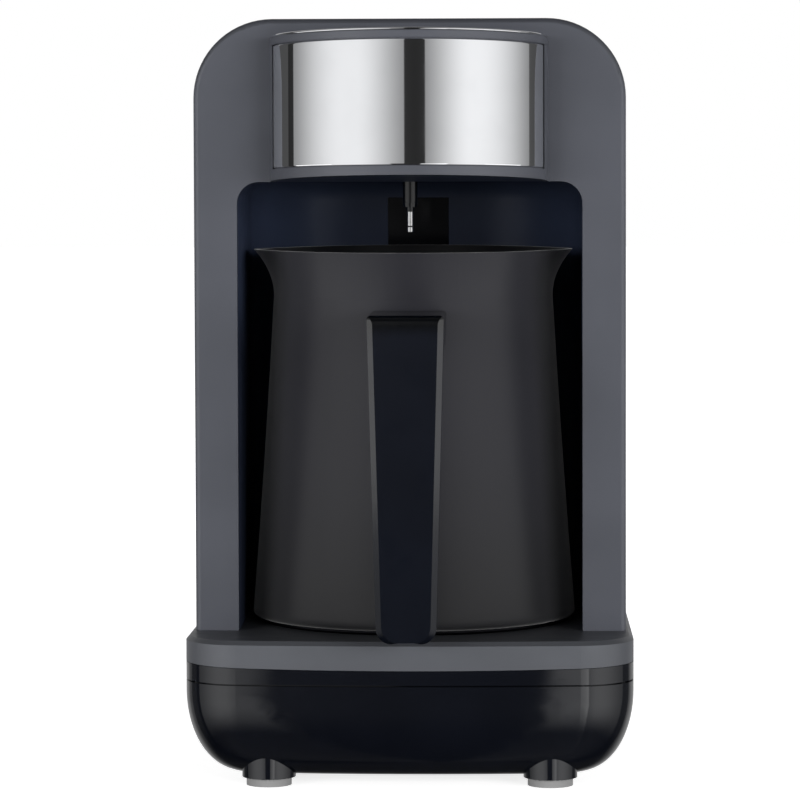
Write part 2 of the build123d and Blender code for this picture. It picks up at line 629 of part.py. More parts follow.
def thermal_fuse():
    """Small cartridge held against the plate, beside the thermostat."""
    z = PLATE_BOTTOM - FUSE_RADIUS - TOUCH_GAP
    body = rod_y(FUSE_RADIUS, POT_Y - FUSE_LENGTH / 2, POT_Y + FUSE_LENGTH / 2, FUSE_OFFSET, z)
    lead = rod_y(FUSE_RADIUS / 4, POT_Y - FUSE_LENGTH, POT_Y + FUSE_LENGTH, FUSE_OFFSET, z)
    return body + lead


# ---- pot ----
def pot_cone(grow, bottom_lift):
    """Turned body of the pot up to its neck, with its wall moved out by grow."""
    foot, neck = POT_FOOT_RADIUS + grow, POT_NECK_RADIUS + grow
    low, high = POT_Z + bottom_lift, POT_Z + POT_NECK_RISE
    middle = ((foot + neck) / 2 - POT_WAIST_HOLLOW, (low + high) / 2)
    outline = Curve() + [
        Line((0, low), (foot, low)),
        ThreePointArc((foot, low), middle, (neck, high)),
        Line((neck, high), (0, high)),
        Line((0, high), (0, low)),
    ]
    profile = make_face(outline)
    heel = profile.vertices().sort_by(Axis.X)[-1]
    profile = fillet(heel, POT_HEEL_ROUND + grow)
    return Pos(0, POT_Y, 0) * revolve(Plane.XZ * profile, Axis.Z)


def rim_outline(share, grow):
    """Closed outline of the pot between its neck (share 0) and its rim (share 1)."""
    points = []
    for step in range(RIM_POINTS):
        angle = 2 * math.pi * step / RIM_POINTS
        lip = LIP_REACH * math.cos(angle) ** LIP_SHARPNESS
        radius = POT_NECK_RADIUS + grow + share ** 2 * (RIM_FLARE + lip)
        points.append((radius * math.cos(angle), radius * math.sin(angle)))
    return make_face(Spline(*points, periodic=True))


def pot_mouth(grow):
    """Flared top of the pot with its two pouring lips."""
    rise = POT_HEIGHT - POT_NECK_RISE
    sections = []
    for step in range(RIM_SECTIONS):
        share = step / (RIM_SECTIONS - 1)
        place = Pos(0, POT_Y, POT_Z + POT_NECK_RISE + share * rise)
        sections.append(place * (rim_outline(share, grow) if step else Circle(POT_NECK_RADIUS + grow)))
    return loft(sections)


def pot_body():
    """Thin-walled pot: a slim cone that flares into a rim with two lips."""
    outer = pot_cone(0, POT_BASE_THICKNESS) + pot_mouth(0)
    inner = pot_cone(-POT_WALL, POT_BASE_THICKNESS + POT_WALL) + pot_mouth(-POT_WALL)
    return outer - inner


def pot_base():
    """Heavy disc under the pot that lies on the hot plate."""
    plate = disc(POT_BASE_RADIUS, POT_Z, POT_Z + POT_BASE_THICKNESS, y=POT_Y)
    return chamfer(plate.edges().sort_by(Axis.Z)[0], POT_BASE_THICKNESS / 2)


# ---- handle ----
def handle_side(outset, outer_bend, inset, inner_bend):
    """Side outline of the handle between two depths under its outer skin, on the YZ plane."""
    top = POT_Z + HANDLE_TOP_RISE
    bottom = POT_Z + HANDLE_BOTTOM_RISE
    front = POT_Y - HANDLE_REACH
    root = POT_Y - POT_NECK_RADIUS + POT_WALL
    outline = Polyline(
        (root, top - outset), (front + outset, top - outset), (front + outset, bottom),
        (front + inset, bottom), (front + inset, top - inset), (root, top - inset), close=True)
    side = make_face(outline)
    for depth, bend in ((outset, outer_bend), (inset, inner_bend)):
        corner = side.vertices().filter_by(
            lambda v: abs(v.X - front - depth) < TOUCH_GAP and abs(v.Y - top + depth) < TOUCH_GAP)
        side = fillet(corner, bend)
    return side


def handle_front(narrow, toe):
    """Front outline of the handle: tapered, with round corners."""
    top, bottom = POT_Z + HANDLE_TOP_RISE, POT_Z + HANDLE_BOTTOM_RISE + toe
    wide, slim = HANDLE_TOP_WIDTH / 2 - narrow, HANDLE_BOTTOM_WIDTH / 2 - narrow
    outline = make_face(Polyline((-wide, top), (wide, top), (slim, bottom), (-slim, bottom), close=True))
    outline = fillet(outline.vertices().sort_by(Axis.Y)[:2], HANDLE_TOE_ROUND)
    return fillet(outline.vertices().sort_by(Axis.Y)[-2:], HANDLE_TOP_ROUND)


def handle_shell(side, narrow):
    """Moulding of the handle from its side outline, as wide as its front outline."""
    bar = extrude(Plane.YZ.offset(-HANDLE_TOP_WIDTH) * side, amount=2 * HANDLE_TOP_WIDTH)
    front = POT_Y - HANDLE_REACH
    bevel_end = front + HANDLE_BEVEL
    mask = stand(handle_front(narrow, 0), bevel_end, POT_Y)
    faces = [Plane.XZ.offset(-front) * handle_front(narrow + HANDLE_BEVEL, HANDLE_TOE_BEVEL),
             Plane.XZ.offset(-bevel_end) * handle_front(narrow, 0)]
    bar &= loft(faces) + mask
    bar -= pot_cone(BRACKET_THICKNESS + TOUCH_GAP, POT_BASE_THICKNESS)
    return bar - handle_screw_hole()


def handle_screw_height():
    """Height of the screw that holds the handle to its bracket."""
    return POT_Z + HANDLE_TOP_RISE - BRACKET_HEIGHT / 2


def handle_screw_hole():
    """Room for the handle screw and its head."""
    z = handle_screw_height()
    seat = handle_screw_seat()
    hole = rod_y(HANDLE_SCREW_RADIUS + SHAFT_GAP, seat, POT_Y, 0, z)
    return hole + rod_y(HANDLE_SCREW_HEAD + SHAFT_GAP, seat - SCREW_HEAD_HEIGHT - SEAT_GAP, seat, 0, z)


def handle_screw_seat():
    """Depth at which the handle screw's head bears."""
    return POT_Y - HANDLE_REACH + HANDLE_GRIP_THICKNESS


def handle_grip():
    """Outer moulding, with bevelled long edges."""
    return handle_shell(handle_side(0, HANDLE_BEND, HANDLE_GRIP_THICKNESS, HANDLE_SPLIT_BEND), 0)


def handle_back():
    """Inner moulding on the fingers' side."""
    split = HANDLE_GRIP_THICKNESS
    side = handle_side(split, HANDLE_SPLIT_BEND, split + HANDLE_BACK_THICKNESS, HANDLE_FINGER_BEND)
    return handle_shell(side, TOUCH_GAP)


def handle_bracket():
    """Curved steel plate on the pot's wall, with a threaded post for the screw."""
    top = POT_Z + HANDLE_TOP_RISE - SEAT_GAP
    half = BRACKET_WIDTH / 2
    window = block(-half, half, POT_Y - POT_FOOT_RADIUS, POT_Y - POT_NECK_RADIUS / 2,
                   top - BRACKET_HEIGHT - THROUGH, top)
    plate = pot_cone(BRACKET_THICKNESS, POT_BASE_THICKNESS) - pot_cone(0, POT_BASE_THICKNESS)
    return plate & window


def handle_screw():
    """Screw inside the handle's arm, from its front to the bracket."""
    z = handle_screw_height()
    seat = handle_screw_seat()
    shank = rod_y(HANDLE_SCREW_RADIUS, seat, POT_Y, 0, z)
    screw = shank + rod_y(HANDLE_SCREW_HEAD, seat - SCREW_HEAD_HEIGHT, seat, 0, z)
    return screw - pot_cone(BRACKET_THICKNESS, POT_BASE_THICKNESS)


# ---- head ----
def head_plan(half_width, reach):
    """Half-round plan of the head, flat against the tower's face."""
    oval = EllipticalCenterArc((0, 0), half_width, reach, 180, arc_size=180)
    plan = make_face(Curve() + [oval, Line((half_width, 0), (-half_width, 0))])
    return Pos(0, FACE_Y) * plan


def head_slab(bottom, top, bottom_rise, top_rise):
    """Wide block in front of the tower whose faces rise towards the front."""
    far = 2 * HEAD_REACH
    front = FACE_Y - far
    low, high = bottom + 2 * bottom_rise, top + 2 * top_rise
    side = make_face(Polyline((FACE_Y, bottom), (FACE_Y, top), (front, high), (front, low), close=True))
    return extrude(Plane.YZ.offset(-HEAD_WIDTH) * side, amount=2 * HEAD_WIDTH)


def head_prism(inset, bottom, top, bottom_rise, top_rise):
    """Half-round prism of the head, inset by a wall, between two sloping faces."""
    plan = Pos(0, 0, bottom - THROUGH) * head_plan(HEAD_WIDTH / 2 - inset, HEAD_REACH - inset)
    prism = extrude(plan, amount=top - bottom + 2 * HEAD_RISE + LIP_RISE + 2 * THROUGH)
    return prism & head_slab(bottom, top, bottom_rise, top_rise)


def head_shell():
    """Housing that overhangs the pot, with the seat of the chrome band."""
    shell = head_prism(0, LIP_BOTTOM, HEAD_CAP_JOINT, LIP_RISE, HEAD_RISE)
    shell -= head_prism(HEAD_WALL, LIP_BOTTOM + HEAD_WALL, HEAD_CAP_JOINT + THROUGH, LIP_RISE, HEAD_RISE)
    seat = head_prism(-THROUGH, BAND_BOTTOM, BAND_TOP, BAND_RISE, HEAD_RISE)
    seat -= head_prism(BAND_THICKNESS, BAND_BOTTOM - THROUGH, BAND_TOP + THROUGH, BAND_RISE, HEAD_RISE)
    recess = head_prism(UNDERSIDE_INSET, LIP_BOTTOM - THROUGH, LIP_BOTTOM + UNDERSIDE_THICKNESS,
                        LIP_RISE, LIP_RISE)
    return shell - (seat & band_window(0)) - recess


def head_underside():
    """Dark plate let into the head's underside."""
    return head_prism(UNDERSIDE_INSET + SEAT_GAP, LIP_BOTTOM, LIP_BOTTOM + UNDERSIDE_THICKNESS - TOUCH_GAP,
                      LIP_RISE, LIP_RISE)


def band_window(gap):
    """The width of the head that the chrome band covers."""
    half = BAND_WIDTH / 2 - gap
    return block(-half, half, FACE_Y - 2 * HEAD_REACH, FACE_Y, LIP_BOTTOM, TOWER_TOP)


def chrome_band():
    """Bright band set flush into the head."""
    band = head_prism(0, BAND_BOTTOM + BAND_REVEAL, BAND_TOP - BAND_REVEAL, BAND_RISE, HEAD_RISE)
    band -= head_prism(BAND_THICKNESS - TOUCH_GAP, BAND_BOTTOM - THROUGH, BAND_TOP + THROUGH,
                       BAND_RISE, HEAD_RISE)
    return band & band_window(BAND_REVEAL)


def button_top():
    """Height of the button's top face."""
    return HEAD_TOP + HEAD_RISE * BUTTON_Y_REACH / HEAD_REACH - BUTTON_SETBACK


def cap_underside():
    """Height of the flat ceiling under the cap."""
    return HEAD_TOP - HEAD_WALL


def head_cap():
    """Top cover of the head, with the button's hole and the board's posts."""
    cap = head_prism(0, HEAD_CAP_JOINT + TOUCH_GAP, HEAD_TOP, HEAD_RISE, HEAD_RISE)
    rim = cap.faces().sort_by(Axis.Z)[-1].edges().filter_by(lambda edge: edge.center().Y < FACE_Y - THROUGH)
    cap = fillet(rim, CAP_ROUND)
    room = head_plan(HEAD_WIDTH / 2 - HEAD_WALL, HEAD_REACH - HEAD_WALL)
    cap -= extrude(Pos(0, 0, HEAD_CAP_JOINT) * room, amount=cap_underside() - HEAD_CAP_JOINT)
    spigot_inset = HEAD_WALL + SEAT_GAP
    spigot = head_plan(HEAD_WIDTH / 2 - spigot_inset, HEAD_REACH - spigot_inset)
    cap += extrude(Pos(0, 0, cap_underside()) * spigot, amount=HEAD_TOP - cap_underside())
    for x, y in cap_posts():
        cap += disc(BOARD_POST_RADIUS, control_board_top(), cap_underside() + THROUGH, x, y)
        cap -= disc(BOARD_SCREW_RADIUS + SHAFT_GAP, control_board_top() - THROUGH, cap_underside(), x, y)
    ring_outer = BUTTON_RADIUS + BUTTON_GAP + RING_WIDTH
    cap -= disc(ring_outer + SHAFT_GAP, HEAD_CAP_JOINT, TOWER_TOP, y=BUTTON_Y)
    return cap


def button_ring():
    """Light guide round the button, with a ledge under the cap."""
    inner = BUTTON_RADIUS + BUTTON_GAP
    ring = disc(inner + RING_WIDTH, cap_underside() - RING_LEDGE, TOWER_TOP, y=BUTTON_Y)
    ring &= head_slab(HEAD_CAP_JOINT - HEAD_WALL, HEAD_TOP - TOUCH_GAP, HEAD_RISE, HEAD_RISE)
    ring += disc(inner + RING_WIDTH + RING_LEDGE, cap_underside() - RING_LEDGE,
                 cap_underside() - TOUCH_GAP, y=BUTTON_Y)
    return ring - disc(inner, cap_underside() - 2 * RING_LEDGE, TOWER_TOP, y=BUTTON_Y)


def start_button():
    """Round button with a dished top and a flange that keeps it in."""
    top = button_top()
    button = disc(BUTTON_RADIUS, top - BUTTON_THICKNESS, top, y=BUTTON_Y)
    dish_radius = (BUTTON_RADIUS ** 2 + BUTTON_DISH ** 2) / (2 * BUTTON_DISH)
    button -= Pos(0, BUTTON_Y, top + dish_radius - BUTTON_DISH * 0.8) * Sphere(dish_radius)
    flange_top = cap_underside() - RING_LEDGE - SEAT_GAP
    flange_bottom = flange_top - BUTTON_FLANGE_THICKNESS
    button += disc(BUTTON_RADIUS + BUTTON_FLANGE, flange_bottom, flange_top, y=BUTTON_Y)
    return button + disc(BUTTON_RADIUS, flange_bottom, top - BUTTON_THICKNESS, y=BUTTON_Y)


def plunger_top():
    """Height at which the plunger meets the button."""
    return cap_underside() - RING_LEDGE - SEAT_GAP - BUTTON_FLANGE_THICKNESS


def switch_top():
    """Height of the switch body's top."""
    return plunger_top() - BUTTON_TRAVEL - SEAT_GAP


def control_board_top():
    """Height of the control board's upper face."""
    return switch_top() - SWITCH_HEIGHT


def switch_plunger():
    """Plunger of the switch, pressed by the button."""
    return disc(PLUNGER_RADIUS, plunger_top() - PLUNGER_LENGTH, plunger_top(), y=BUTTON_Y)


def tact_switch():
    """Square switch body with a well for its plunger."""
    half = SWITCH_SIDE / 2
    body = block(-half, half, BUTTON_Y - half, BUTTON_Y + half, control_board_top(), switch_top())
    well_bottom = plunger_top() - PLUNGER_LENGTH - BUTTON_TRAVEL - SEAT_GAP
    return body - disc(PLUNGER_RADIUS + SHAFT_GAP, well_bottom, switch_top() + THROUGH, y=BUTTON_Y)


def cap_posts():
    """Posts under the cap that carry the control board."""
    return [(side * CAP_POST_SPREAD / 2, FACE_Y - CAP_POST_Y_REACH) for side in (-1, 1)]


def control_board():
    """Board under the button."""
    top = control_board_top()
    plan = head_plan(CONTROL_BOARD_WIDTH / 2, CONTROL_BOARD_REACH)
    board = extrude(Pos(0, 0, top - BOARD_THICKNESS) * plan, amount=BOARD_THICKNESS)
    for x, y in cap_posts():
        board -= disc(BOARD_SCREW_RADIUS + SHAFT_GAP, top - BOARD_THICKNESS - THROUGH, top + THROUGH, x, y)
    return board


def buzzer():
    """Round sounder under the control board."""
    top = control_board_top() - BOARD_THICKNESS
    y = FACE_Y - CAP_POST_Y_REACH - BUZZER_RADIUS / 2
    can = disc(BUZZER_RADIUS, top - BUZZER_HEIGHT, top, BUZZER_OFFSET - BUZZER_RADIUS, y)
    return can - disc(BUZZER_RADIUS / 5, top - BUZZER_HEIGHT - THROUGH, top - BUZZER_HEIGHT / 2,
                      BUZZER_OFFSET - BUZZER_RADIUS, y)


# ---- foam probe ----
def probe_sleeve():
    """Plastic sleeve through the niche's ceiling: collar, grooved tube and thin pin cover."""
    y = FACE_Y + PROBE_SETBACK
    seat = NICHE_TOP + LINER_WALL
    top = seat + SLEEVE_COLLAR_HEIGHT
    sleeve = disc(SLEEVE_RADIUS, NICHE_TOP - SLEEVE_DROP, top, y=y)
    sleeve += disc(SLEEVE_COLLAR_RADIUS, seat, top, y=y)
    neck_bottom = NICHE_TOP - SLEEVE_DROP - SLEEVE_GROOVE
    sleeve += disc(SLEEVE_RADIUS - SLEEVE_GROOVE, neck_bottom, NICHE_TOP, y=y)
    end_height = SLEEVE_END_DROP - SLEEVE_DROP - SLEEVE_GROOVE
    sleeve += (Pos(0, y, neck_bottom - end_height / 2)
               * Cone(SLEEVE_END_RADIUS, SLEEVE_RADIUS, end_height))
    sleeve += disc(PIN_COVER_RADIUS, NICHE_TOP - PIN_COVER_DROP, NICHE_TOP, y=y)
    bore = disc(ELECTRODE_RADIUS + SHAFT_GAP, NICHE_TOP - PIN_COVER_DROP - THROUGH, top + THROUGH, y=y)
    return sleeve - bore


def probe_electrode():
    """Steel pin inside the sleeve."""
    top = NICHE_TOP + LINER_WALL + 2 * SLEEVE_COLLAR_HEIGHT
    return disc(ELECTRODE_RADIUS, NICHE_TOP - ELECTRODE_DROP, top, y=FACE_Y + PROBE_SETBACK)


def probe_insulator():
    """Dark ring between the pin and its tip."""
    top = NICHE_TOP - ELECTRODE_DROP
    return disc(ELECTRODE_RADIUS, top - INSULATOR_HEIGHT, top, y=FACE_Y + PROBE_SETBACK)


def probe_tip():
    """Second contact at the end of the probe, with a round end."""
    top = NICHE_TOP - ELECTRODE_DROP - INSULATOR_HEIGHT
    tip = disc(ELECTRODE_RADIUS, top - PROBE_TIP_LENGTH, top, y=FACE_Y + PROBE_SETBACK)
    return fillet(tip.edges().sort_by(Axis.Z)[0], ELECTRODE_RADIUS / 2)


# ---- power electronics ----
def power_posts():
    """Posts of the rear cover that carry the power board."""
    x = POWER_BOARD_WIDTH / 2 - POWER_POST_INSET
    low = POWER_BOARD_BOTTOM + POWER_POST_INSET
    high = POWER_BOARD_BOTTOM + POWER_BOARD_HEIGHT - POWER_POST_INSET
    return [(side * x, z) for side in (-1, 1) for z in (low, high)]


def power_board():
    """Mains board behind the niche."""
    half = POWER_BOARD_WIDTH / 2
    board = block(-half, half, POWER_BOARD_Y, POWER_BOARD_Y + BOARD_THICKNESS,
                  POWER_BOARD_BOTTOM, POWER_BOARD_BOTTOM + POWER_BOARD_HEIGHT)
    for x, z in power_posts():
        board -= rod_y(BOARD_SCREW_RADIUS + SHAFT_GAP, POWER_BOARD_Y - THROUGH,
                       POWER_BOARD_Y + BOARD_THICKNESS + THROUGH, x, z)
    return board


def on_power_board(size, x, z):
    """Box-shaped component that stands forward of the power board, with round upright edges."""
    width, depth, height = size
    place = Pos(x, POWER_BOARD_Y - depth / 2, z)
    body = place * Box(width, depth, height)
    return fillet(body.edges().filter_by(Axis.Y), COMPONENT_ROUND)


def board_screws():
    """Screws of the power, control and sensor boards."""
    screws = []
    for x, z in power_posts():
        front = POWER_BOARD_Y
        screws.append(rod_y(BOARD_SCREW_RADIUS, front, front + BOARD_SCREW_LENGTH, x, z)
                      + rod_y(BOARD_SCREW_HEAD, front - BOARD_SCREW_HEAD_HEIGHT, front, x, z))
    for x, z in sensor_posts():
        rear = LINER_BACK_Y + SENSOR_POST_LENGTH + BOARD_THICKNESS
        screws.append(rod_y(BOARD_SCREW_RADIUS, rear - BOARD_SCREW_LENGTH, rear, x, z)
                      + rod_y(BOARD_SCREW_HEAD, rear, rear + BOARD_SCREW_HEAD_HEIGHT, x, z))
    for x, y in cap_posts():
        low = control_board_top() - BOARD_THICKNESS
        screws.append(disc(BOARD_SCREW_RADIUS, low, low + BOARD_SCREW_LENGTH, x, y)
                      + disc(BOARD_SCREW_HEAD, low - BOARD_SCREW_HEAD_HEIGHT, low, x, y))
    return screws


def main():
    """Build every node and write it."""
    os.makedirs("parts", exist_ok=True)
    for make in (
        tower_front, niche_liner, sensor_window, sensor_board, rear_cover, cord_gland,
        base_pan, base_belt, deck, hot_plate, plate_gasket, heating_element, heat_shield, thermostat,
        thermal_fuse, pot_body, pot_base, handle_grip, handle_back, handle_bracket, handle_screw,
        head_shell, head_underside, chrome_band, head_cap, button_ring, start_button, switch_plunger,
        tact_switch, control_board, buzzer, probe_sleeve, probe_electrode, probe_insulator, probe_tip,
        power_board,
    ):
        write(make.__name__, make())
    upper = POWER_BOARD_BOTTOM + POWER_BOARD_HEIGHT * 0.6
    write("relay", on_power_board(RELAY_SIZE, -POWER_BOARD_WIDTH / 4, upper))
    write("transformer", on_power_board(TRANSFORMER_SIZE, POWER_BOARD_WIDTH / 5, upper))
    for make in (cover_screws, base_screws, rubber_feet, board_screws):
        write(make.__name__, *make())


main()
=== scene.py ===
"""Finishes, trim, light and camera of an electric Turkish coffee maker, around its CAD frame."""

from __future__ import annotations

import logging
import math
from dataclasses import dataclass, field
from enum import Enum
from typing import Mapping, Sequence, Union

import bmesh
import bpy
from mathutils import Matrix, Vector


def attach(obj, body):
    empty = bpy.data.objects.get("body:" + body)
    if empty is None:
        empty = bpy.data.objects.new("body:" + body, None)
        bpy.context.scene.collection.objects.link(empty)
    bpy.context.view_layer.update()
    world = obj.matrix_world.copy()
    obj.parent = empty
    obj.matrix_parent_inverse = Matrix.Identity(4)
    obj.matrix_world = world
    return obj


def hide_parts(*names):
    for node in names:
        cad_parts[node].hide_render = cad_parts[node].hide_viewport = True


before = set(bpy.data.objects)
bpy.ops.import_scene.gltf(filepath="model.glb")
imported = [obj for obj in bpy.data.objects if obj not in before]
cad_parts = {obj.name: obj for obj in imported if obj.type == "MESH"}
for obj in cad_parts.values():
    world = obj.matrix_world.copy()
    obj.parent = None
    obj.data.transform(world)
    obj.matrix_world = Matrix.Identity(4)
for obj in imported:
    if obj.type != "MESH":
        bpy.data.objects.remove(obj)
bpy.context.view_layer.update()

LOG = logging.getLogger("coffee_maker")

Colour = tuple[float, float, float]
Range = tuple[float, float]
MM = 0.001
SOFT: Range = (0.3, 0.7)

# Numbers of the sockets by which a Mix node takes two colours and gives one.
MIX_LOW, MIX_HIGH, MIX_RESULT = 6, 7, 2


# --- shader expressions ---


class Signal:
    """A shader socket's value, which adds Math nodes when Python arithmetic is done on it."""

    def __init__(self, graph: Graph, socket: bpy.types.NodeSocket) -> None:
        """Wraps an output socket of a node in the graph."""
        self.graph = graph
        self.socket = socket

    def math(self, operation: str, *values: Value) -> Signal:
        """Adds one Math node.

        Args:
            operation: the Math node's operation.
            values: its inputs, in order.

        Returns:
            The node's output.
        """
        inputs = dict(enumerate(values))
        return self.graph.node("ShaderNodeMath", {"operation": operation}, inputs)

    def __add__(self, other: Value) -> Signal:
        """Adds a value."""
        return self.math("ADD", self, other)

    __radd__ = __add__

    def __sub__(self, other: Value) -> Signal:
        """Takes a value away."""
        return self.math("SUBTRACT", self, other)

    def __rsub__(self, other: Value) -> Signal:
        """Is taken away from a value."""
        return self.math("SUBTRACT", other, self)

    def __mul__(self, other: Value) -> Signal:
        """Multiplies by a value."""
        return self.math("MULTIPLY", self, other)

    __rmul__ = __mul__

    def smooth_step(self, low: float, high: float) -> Signal:
        """Rises smoothly from 0 to 1.

        Args:
            low: the value at which it leaves 0.
            high: the value at which it reaches 1.

        Returns:
            The risen value.
        """
        settings = {"interpolation_type": "SMOOTHSTEP"}
        inputs = {"Value": self, "From Min": low, "From Max": high}
        return self.graph.node("ShaderNodeMapRange", settings, inputs)


Value = Union[float, Colour, Signal]
Settings = Mapping[str, object]
Inputs = Mapping[Union[str, int], Value]


class Detail(Enum):
    """Number of octaves in a noise."""

    PLAIN = 1.0
    SOFT = 2.0
    MEDIUM = 3.0
    FINE = 4.0
    DUSTY = 5.0


class Graph:
    """Node tree of a material or world, built from Python values and signals."""

    def __init__(self, owner: Union[bpy.types.Material, bpy.types.World]) -> None:
        """Takes over the owner's tree and empties it.

        Args:
            owner: the material or world.
        """
        self.owner = owner
        owner.use_nodes = True
        self.tree = owner.node_tree
        self.tree.nodes.clear()

    def make(
        self,
        kind: str,
        settings: Settings | None = None,
        inputs: Inputs | None = None,
    ) -> bpy.types.Node:
        """Adds a node, with its settings first and its sockets after them.

        Args:
            kind: the node's type.
            settings: attributes of the node, such as a Math node's operation.
            inputs: sockets by name or number, each with a number, a colour or a signal.

        Returns:
            The new node.
        """
        node = self.tree.nodes.new(kind)
        for name, value in (settings or {}).items():
            setattr(node, name, value)
        for name, value in (inputs or {}).items():
            socket = node.inputs[name]
            if isinstance(value, Signal):
                self.tree.links.new(value.socket, socket)
            elif isinstance(value, tuple) and socket.type == "RGBA":
                socket.default_value = (*value, 1.0)
            else:
                socket.default_value = value
        return node

    def node(
        self,
        kind: str,
        settings: Settings | None = None,
        inputs: Inputs | None = None,
        output: str | int = 0,
    ) -> Signal:
        """Adds a node as make does.

        Args:
            kind: the node's type.
            settings: attributes of the node.
            inputs: sockets by name or number.
            output: the output to take, by name or number.

        Returns:
            That output.
        """
        made = self.make(kind, settings, inputs)
        return Signal(self, made.outputs[output])

    def place(self) -> Signal:
        """Point on the piece, in metres of the frame at rest."""
        return self.node("ShaderNodeTexCoord", output="Object")

    def axis(self, name: str) -> Signal:
        """One coordinate, X, Y or Z, of that point."""
        return self.node("ShaderNodeSeparateXYZ", inputs={0: self.place()}, output=name)

    def facing(self, name: str) -> Signal:
        """One part, X, Y or Z, of the surface's own direction."""
        normal = self.node("ShaderNodeTexCoord", output="Normal")
        return self.node("ShaderNodeSeparateXYZ", inputs={0: normal}, output=name)

    def noise(
        self, feature: float, detail: Detail = Detail.SOFT, stretch: Colour = (1.0, 1.0, 1.0)
    ) -> Signal:
        """Soft noise from 0 to 1.

        Args:
            feature: size of one blob, in metres.
            detail: number of octaves.
            stretch: how much longer the blobs are along X, Y and Z.

        Returns:
            The noise value.
        """
        scale = tuple(1.0 / (feature * length) for length in stretch)
        settings = {"vector_type": "POINT"}
        inputs = {"Vector": self.place(), "Scale": scale}
        point = self.node("ShaderNodeMapping", settings, inputs)
        inputs = {"Vector": point, "Scale": 1.0, "Detail": detail.value}
        return self.node("ShaderNodeTexNoise", inputs=inputs)

    def tint(self, amount: Value, low: Value, high: Value) -> Signal:
        """Mixes two colours, low at 0 and high at 1."""
        inputs = {0: amount, MIX_LOW: low, MIX_HIGH: high}
        return self.node("ShaderNodeMix", {"data_type": "RGBA"}, inputs, MIX_RESULT)

    def clouded(self, colour: Colour, size: float, share: float) -> Signal:
        """Makes a colour vary softly.

        Args:
            colour: the middle colour.
            size: size of one cloud, in metres.
            share: how much darker and lighter it gets.

        Returns:
            The clouded colour.
        """
        cloud = self.noise(size, Detail.MEDIUM).smooth_step(*SOFT)
        return self.tint(cloud, scaled(colour, 1 - share), scaled(colour, 1 + share))

    def bump(self, height: Signal, depth: float) -> Signal:
        """Normal of a surface with that relief.

        Args:
            height: relief from 0 to 1.
            depth: height of a full step, in metres.

        Returns:
            The bent normal.
        """
        inputs = {"Height": height, "Distance": depth, "Strength": 1.0}
        return self.node("ShaderNodeBump", inputs=inputs)

    def surface(self, inputs: Inputs) -> bpy.types.Material:
        """Ends the tree in a Principled surface with those sockets, and returns its material."""
        return self.finish(self.node("ShaderNodeBsdfPrincipled", inputs=inputs))

    def finish(self, shader: Signal) -> bpy.types.Material:
        """Ends the tree in that surface shader, and returns its material."""
        self.make("ShaderNodeOutputMaterial", inputs={"Surface": shader})
        return self.owner


def material_graph(name: str) -> Graph:
    """Starts a new material of that name."""
    return Graph(bpy.data.materials.new(name))


def linear(red: int, green: int, blue: int) -> Colour:
    """Turns a screen colour into the renderer's linear values.

    Args:
        red: level of red, 0 to 255, as are the others.
        green: level of green.
        blue: level of blue.

    Returns:
        The linear colour.
    """

    def channel(level: int) -> float:
        """Undoes the screen's transfer curve."""
        share = level / 255
        return share / 12.92 if share <= 0.04045 else ((share + 0.055) / 1.055) ** 2.4

    return channel(red), channel(green), channel(blue)


def scaled(colour: Colour, factor: float) -> Colour:
    """Makes a colour lighter or darker."""
    return tuple(level * factor for level in colour)


# --- finishes ---


@dataclass(frozen=True)
class MouldedPlastic:
    """Textured plastic: fine spark-eroded grain, slight clouding, rubbed patches and, where set,
    painted shade on upward faces.
    """

    name: str
    colour: Colour
    roughness: float = 0.42
    grain: float = 0.45 * MM
    grain_depth: float = 0.012 * MM
    grain_haze: float = 0.06
    clouding: float = 0.06
    cloud_size: float = 32 * MM
    rub: float = 0.05
    rub_size: float = 32 / 3 * MM
    rub_range: Range = (0.45, 0.7)
    specular: float = 0.5
    # upward: share of the colour that upward faces keep, a painted shade for darker tops
    upward: float = 1.0
    upward_shade_range: Range = (0.04, 0.3)

    def tone(self, graph: Graph) -> Signal:
        """Clouds the colour and paints shade on upward faces, which keep only a share of it.

        Args:
            graph: the material's tree.

        Returns:
            The colour.
        """
        tone = graph.clouded(self.colour, self.cloud_size, self.clouding)
        if self.upward < 1.0:
            # Painted shade: faces turned upward get a darker colour.
            facing = graph.facing("Z").smooth_step(*self.upward_shade_range)
            tone = graph.tint(facing, tone, scaled(self.colour, self.upward))
        return tone

    def material(self) -> bpy.types.Material:
        """Builds the material.

        Returns:
            The material.
        """
        graph = material_graph(self.name)
        grain = graph.noise(self.grain, Detail.MEDIUM)
        rubbed = graph.noise(self.rub_size, Detail.FINE).smooth_step(*self.rub_range)
        return graph.surface(
            {
                "Base Color": self.tone(graph),
                "Roughness": self.roughness + self.grain_haze * (grain - 0.5) - self.rub * rubbed,
                "Specular IOR Level": self.specular,
                "Normal": graph.bump(grain, self.grain_depth),
            }
        )


@dataclass(frozen=True)
class HandleMoulding(MouldedPlastic):
    """Half-gloss handle: blue-black, with painted shade darkening its top bend."""

    roughness: float = 0.17
    grain: float = 0.5 * MM
    grain_depth: float = 0.006 * MM
    grain_haze: float = 0.05
    clouding: float = 0.08
    cloud_size: float = 22 * MM
    rub: float = 0.03
    rub_size: float = 9 * MM
    rub_range: Range = (0.5, 0.75)
    specular: float = 0.55
    # Colour and heights of the painted shade at the top bend.
    top_shade_colour: Colour = (0.0, 0.0, 0.0)
    top_shade_range: Range = (147.5 * MM, 152.5 * MM)

    def tone(self, graph: Graph) -> Signal:
        """Clouds the colour and darkens it at the top bend, a painted shade.

        Args:
            graph: the material's tree.

        Returns:
            The colour.
        """
        # Painted shade: darker towards the top bend.
        bend = graph.axis("Z").smooth_step(*self.top_shade_range)
        return graph.tint(bend, super().tone(graph), self.top_shade_colour)


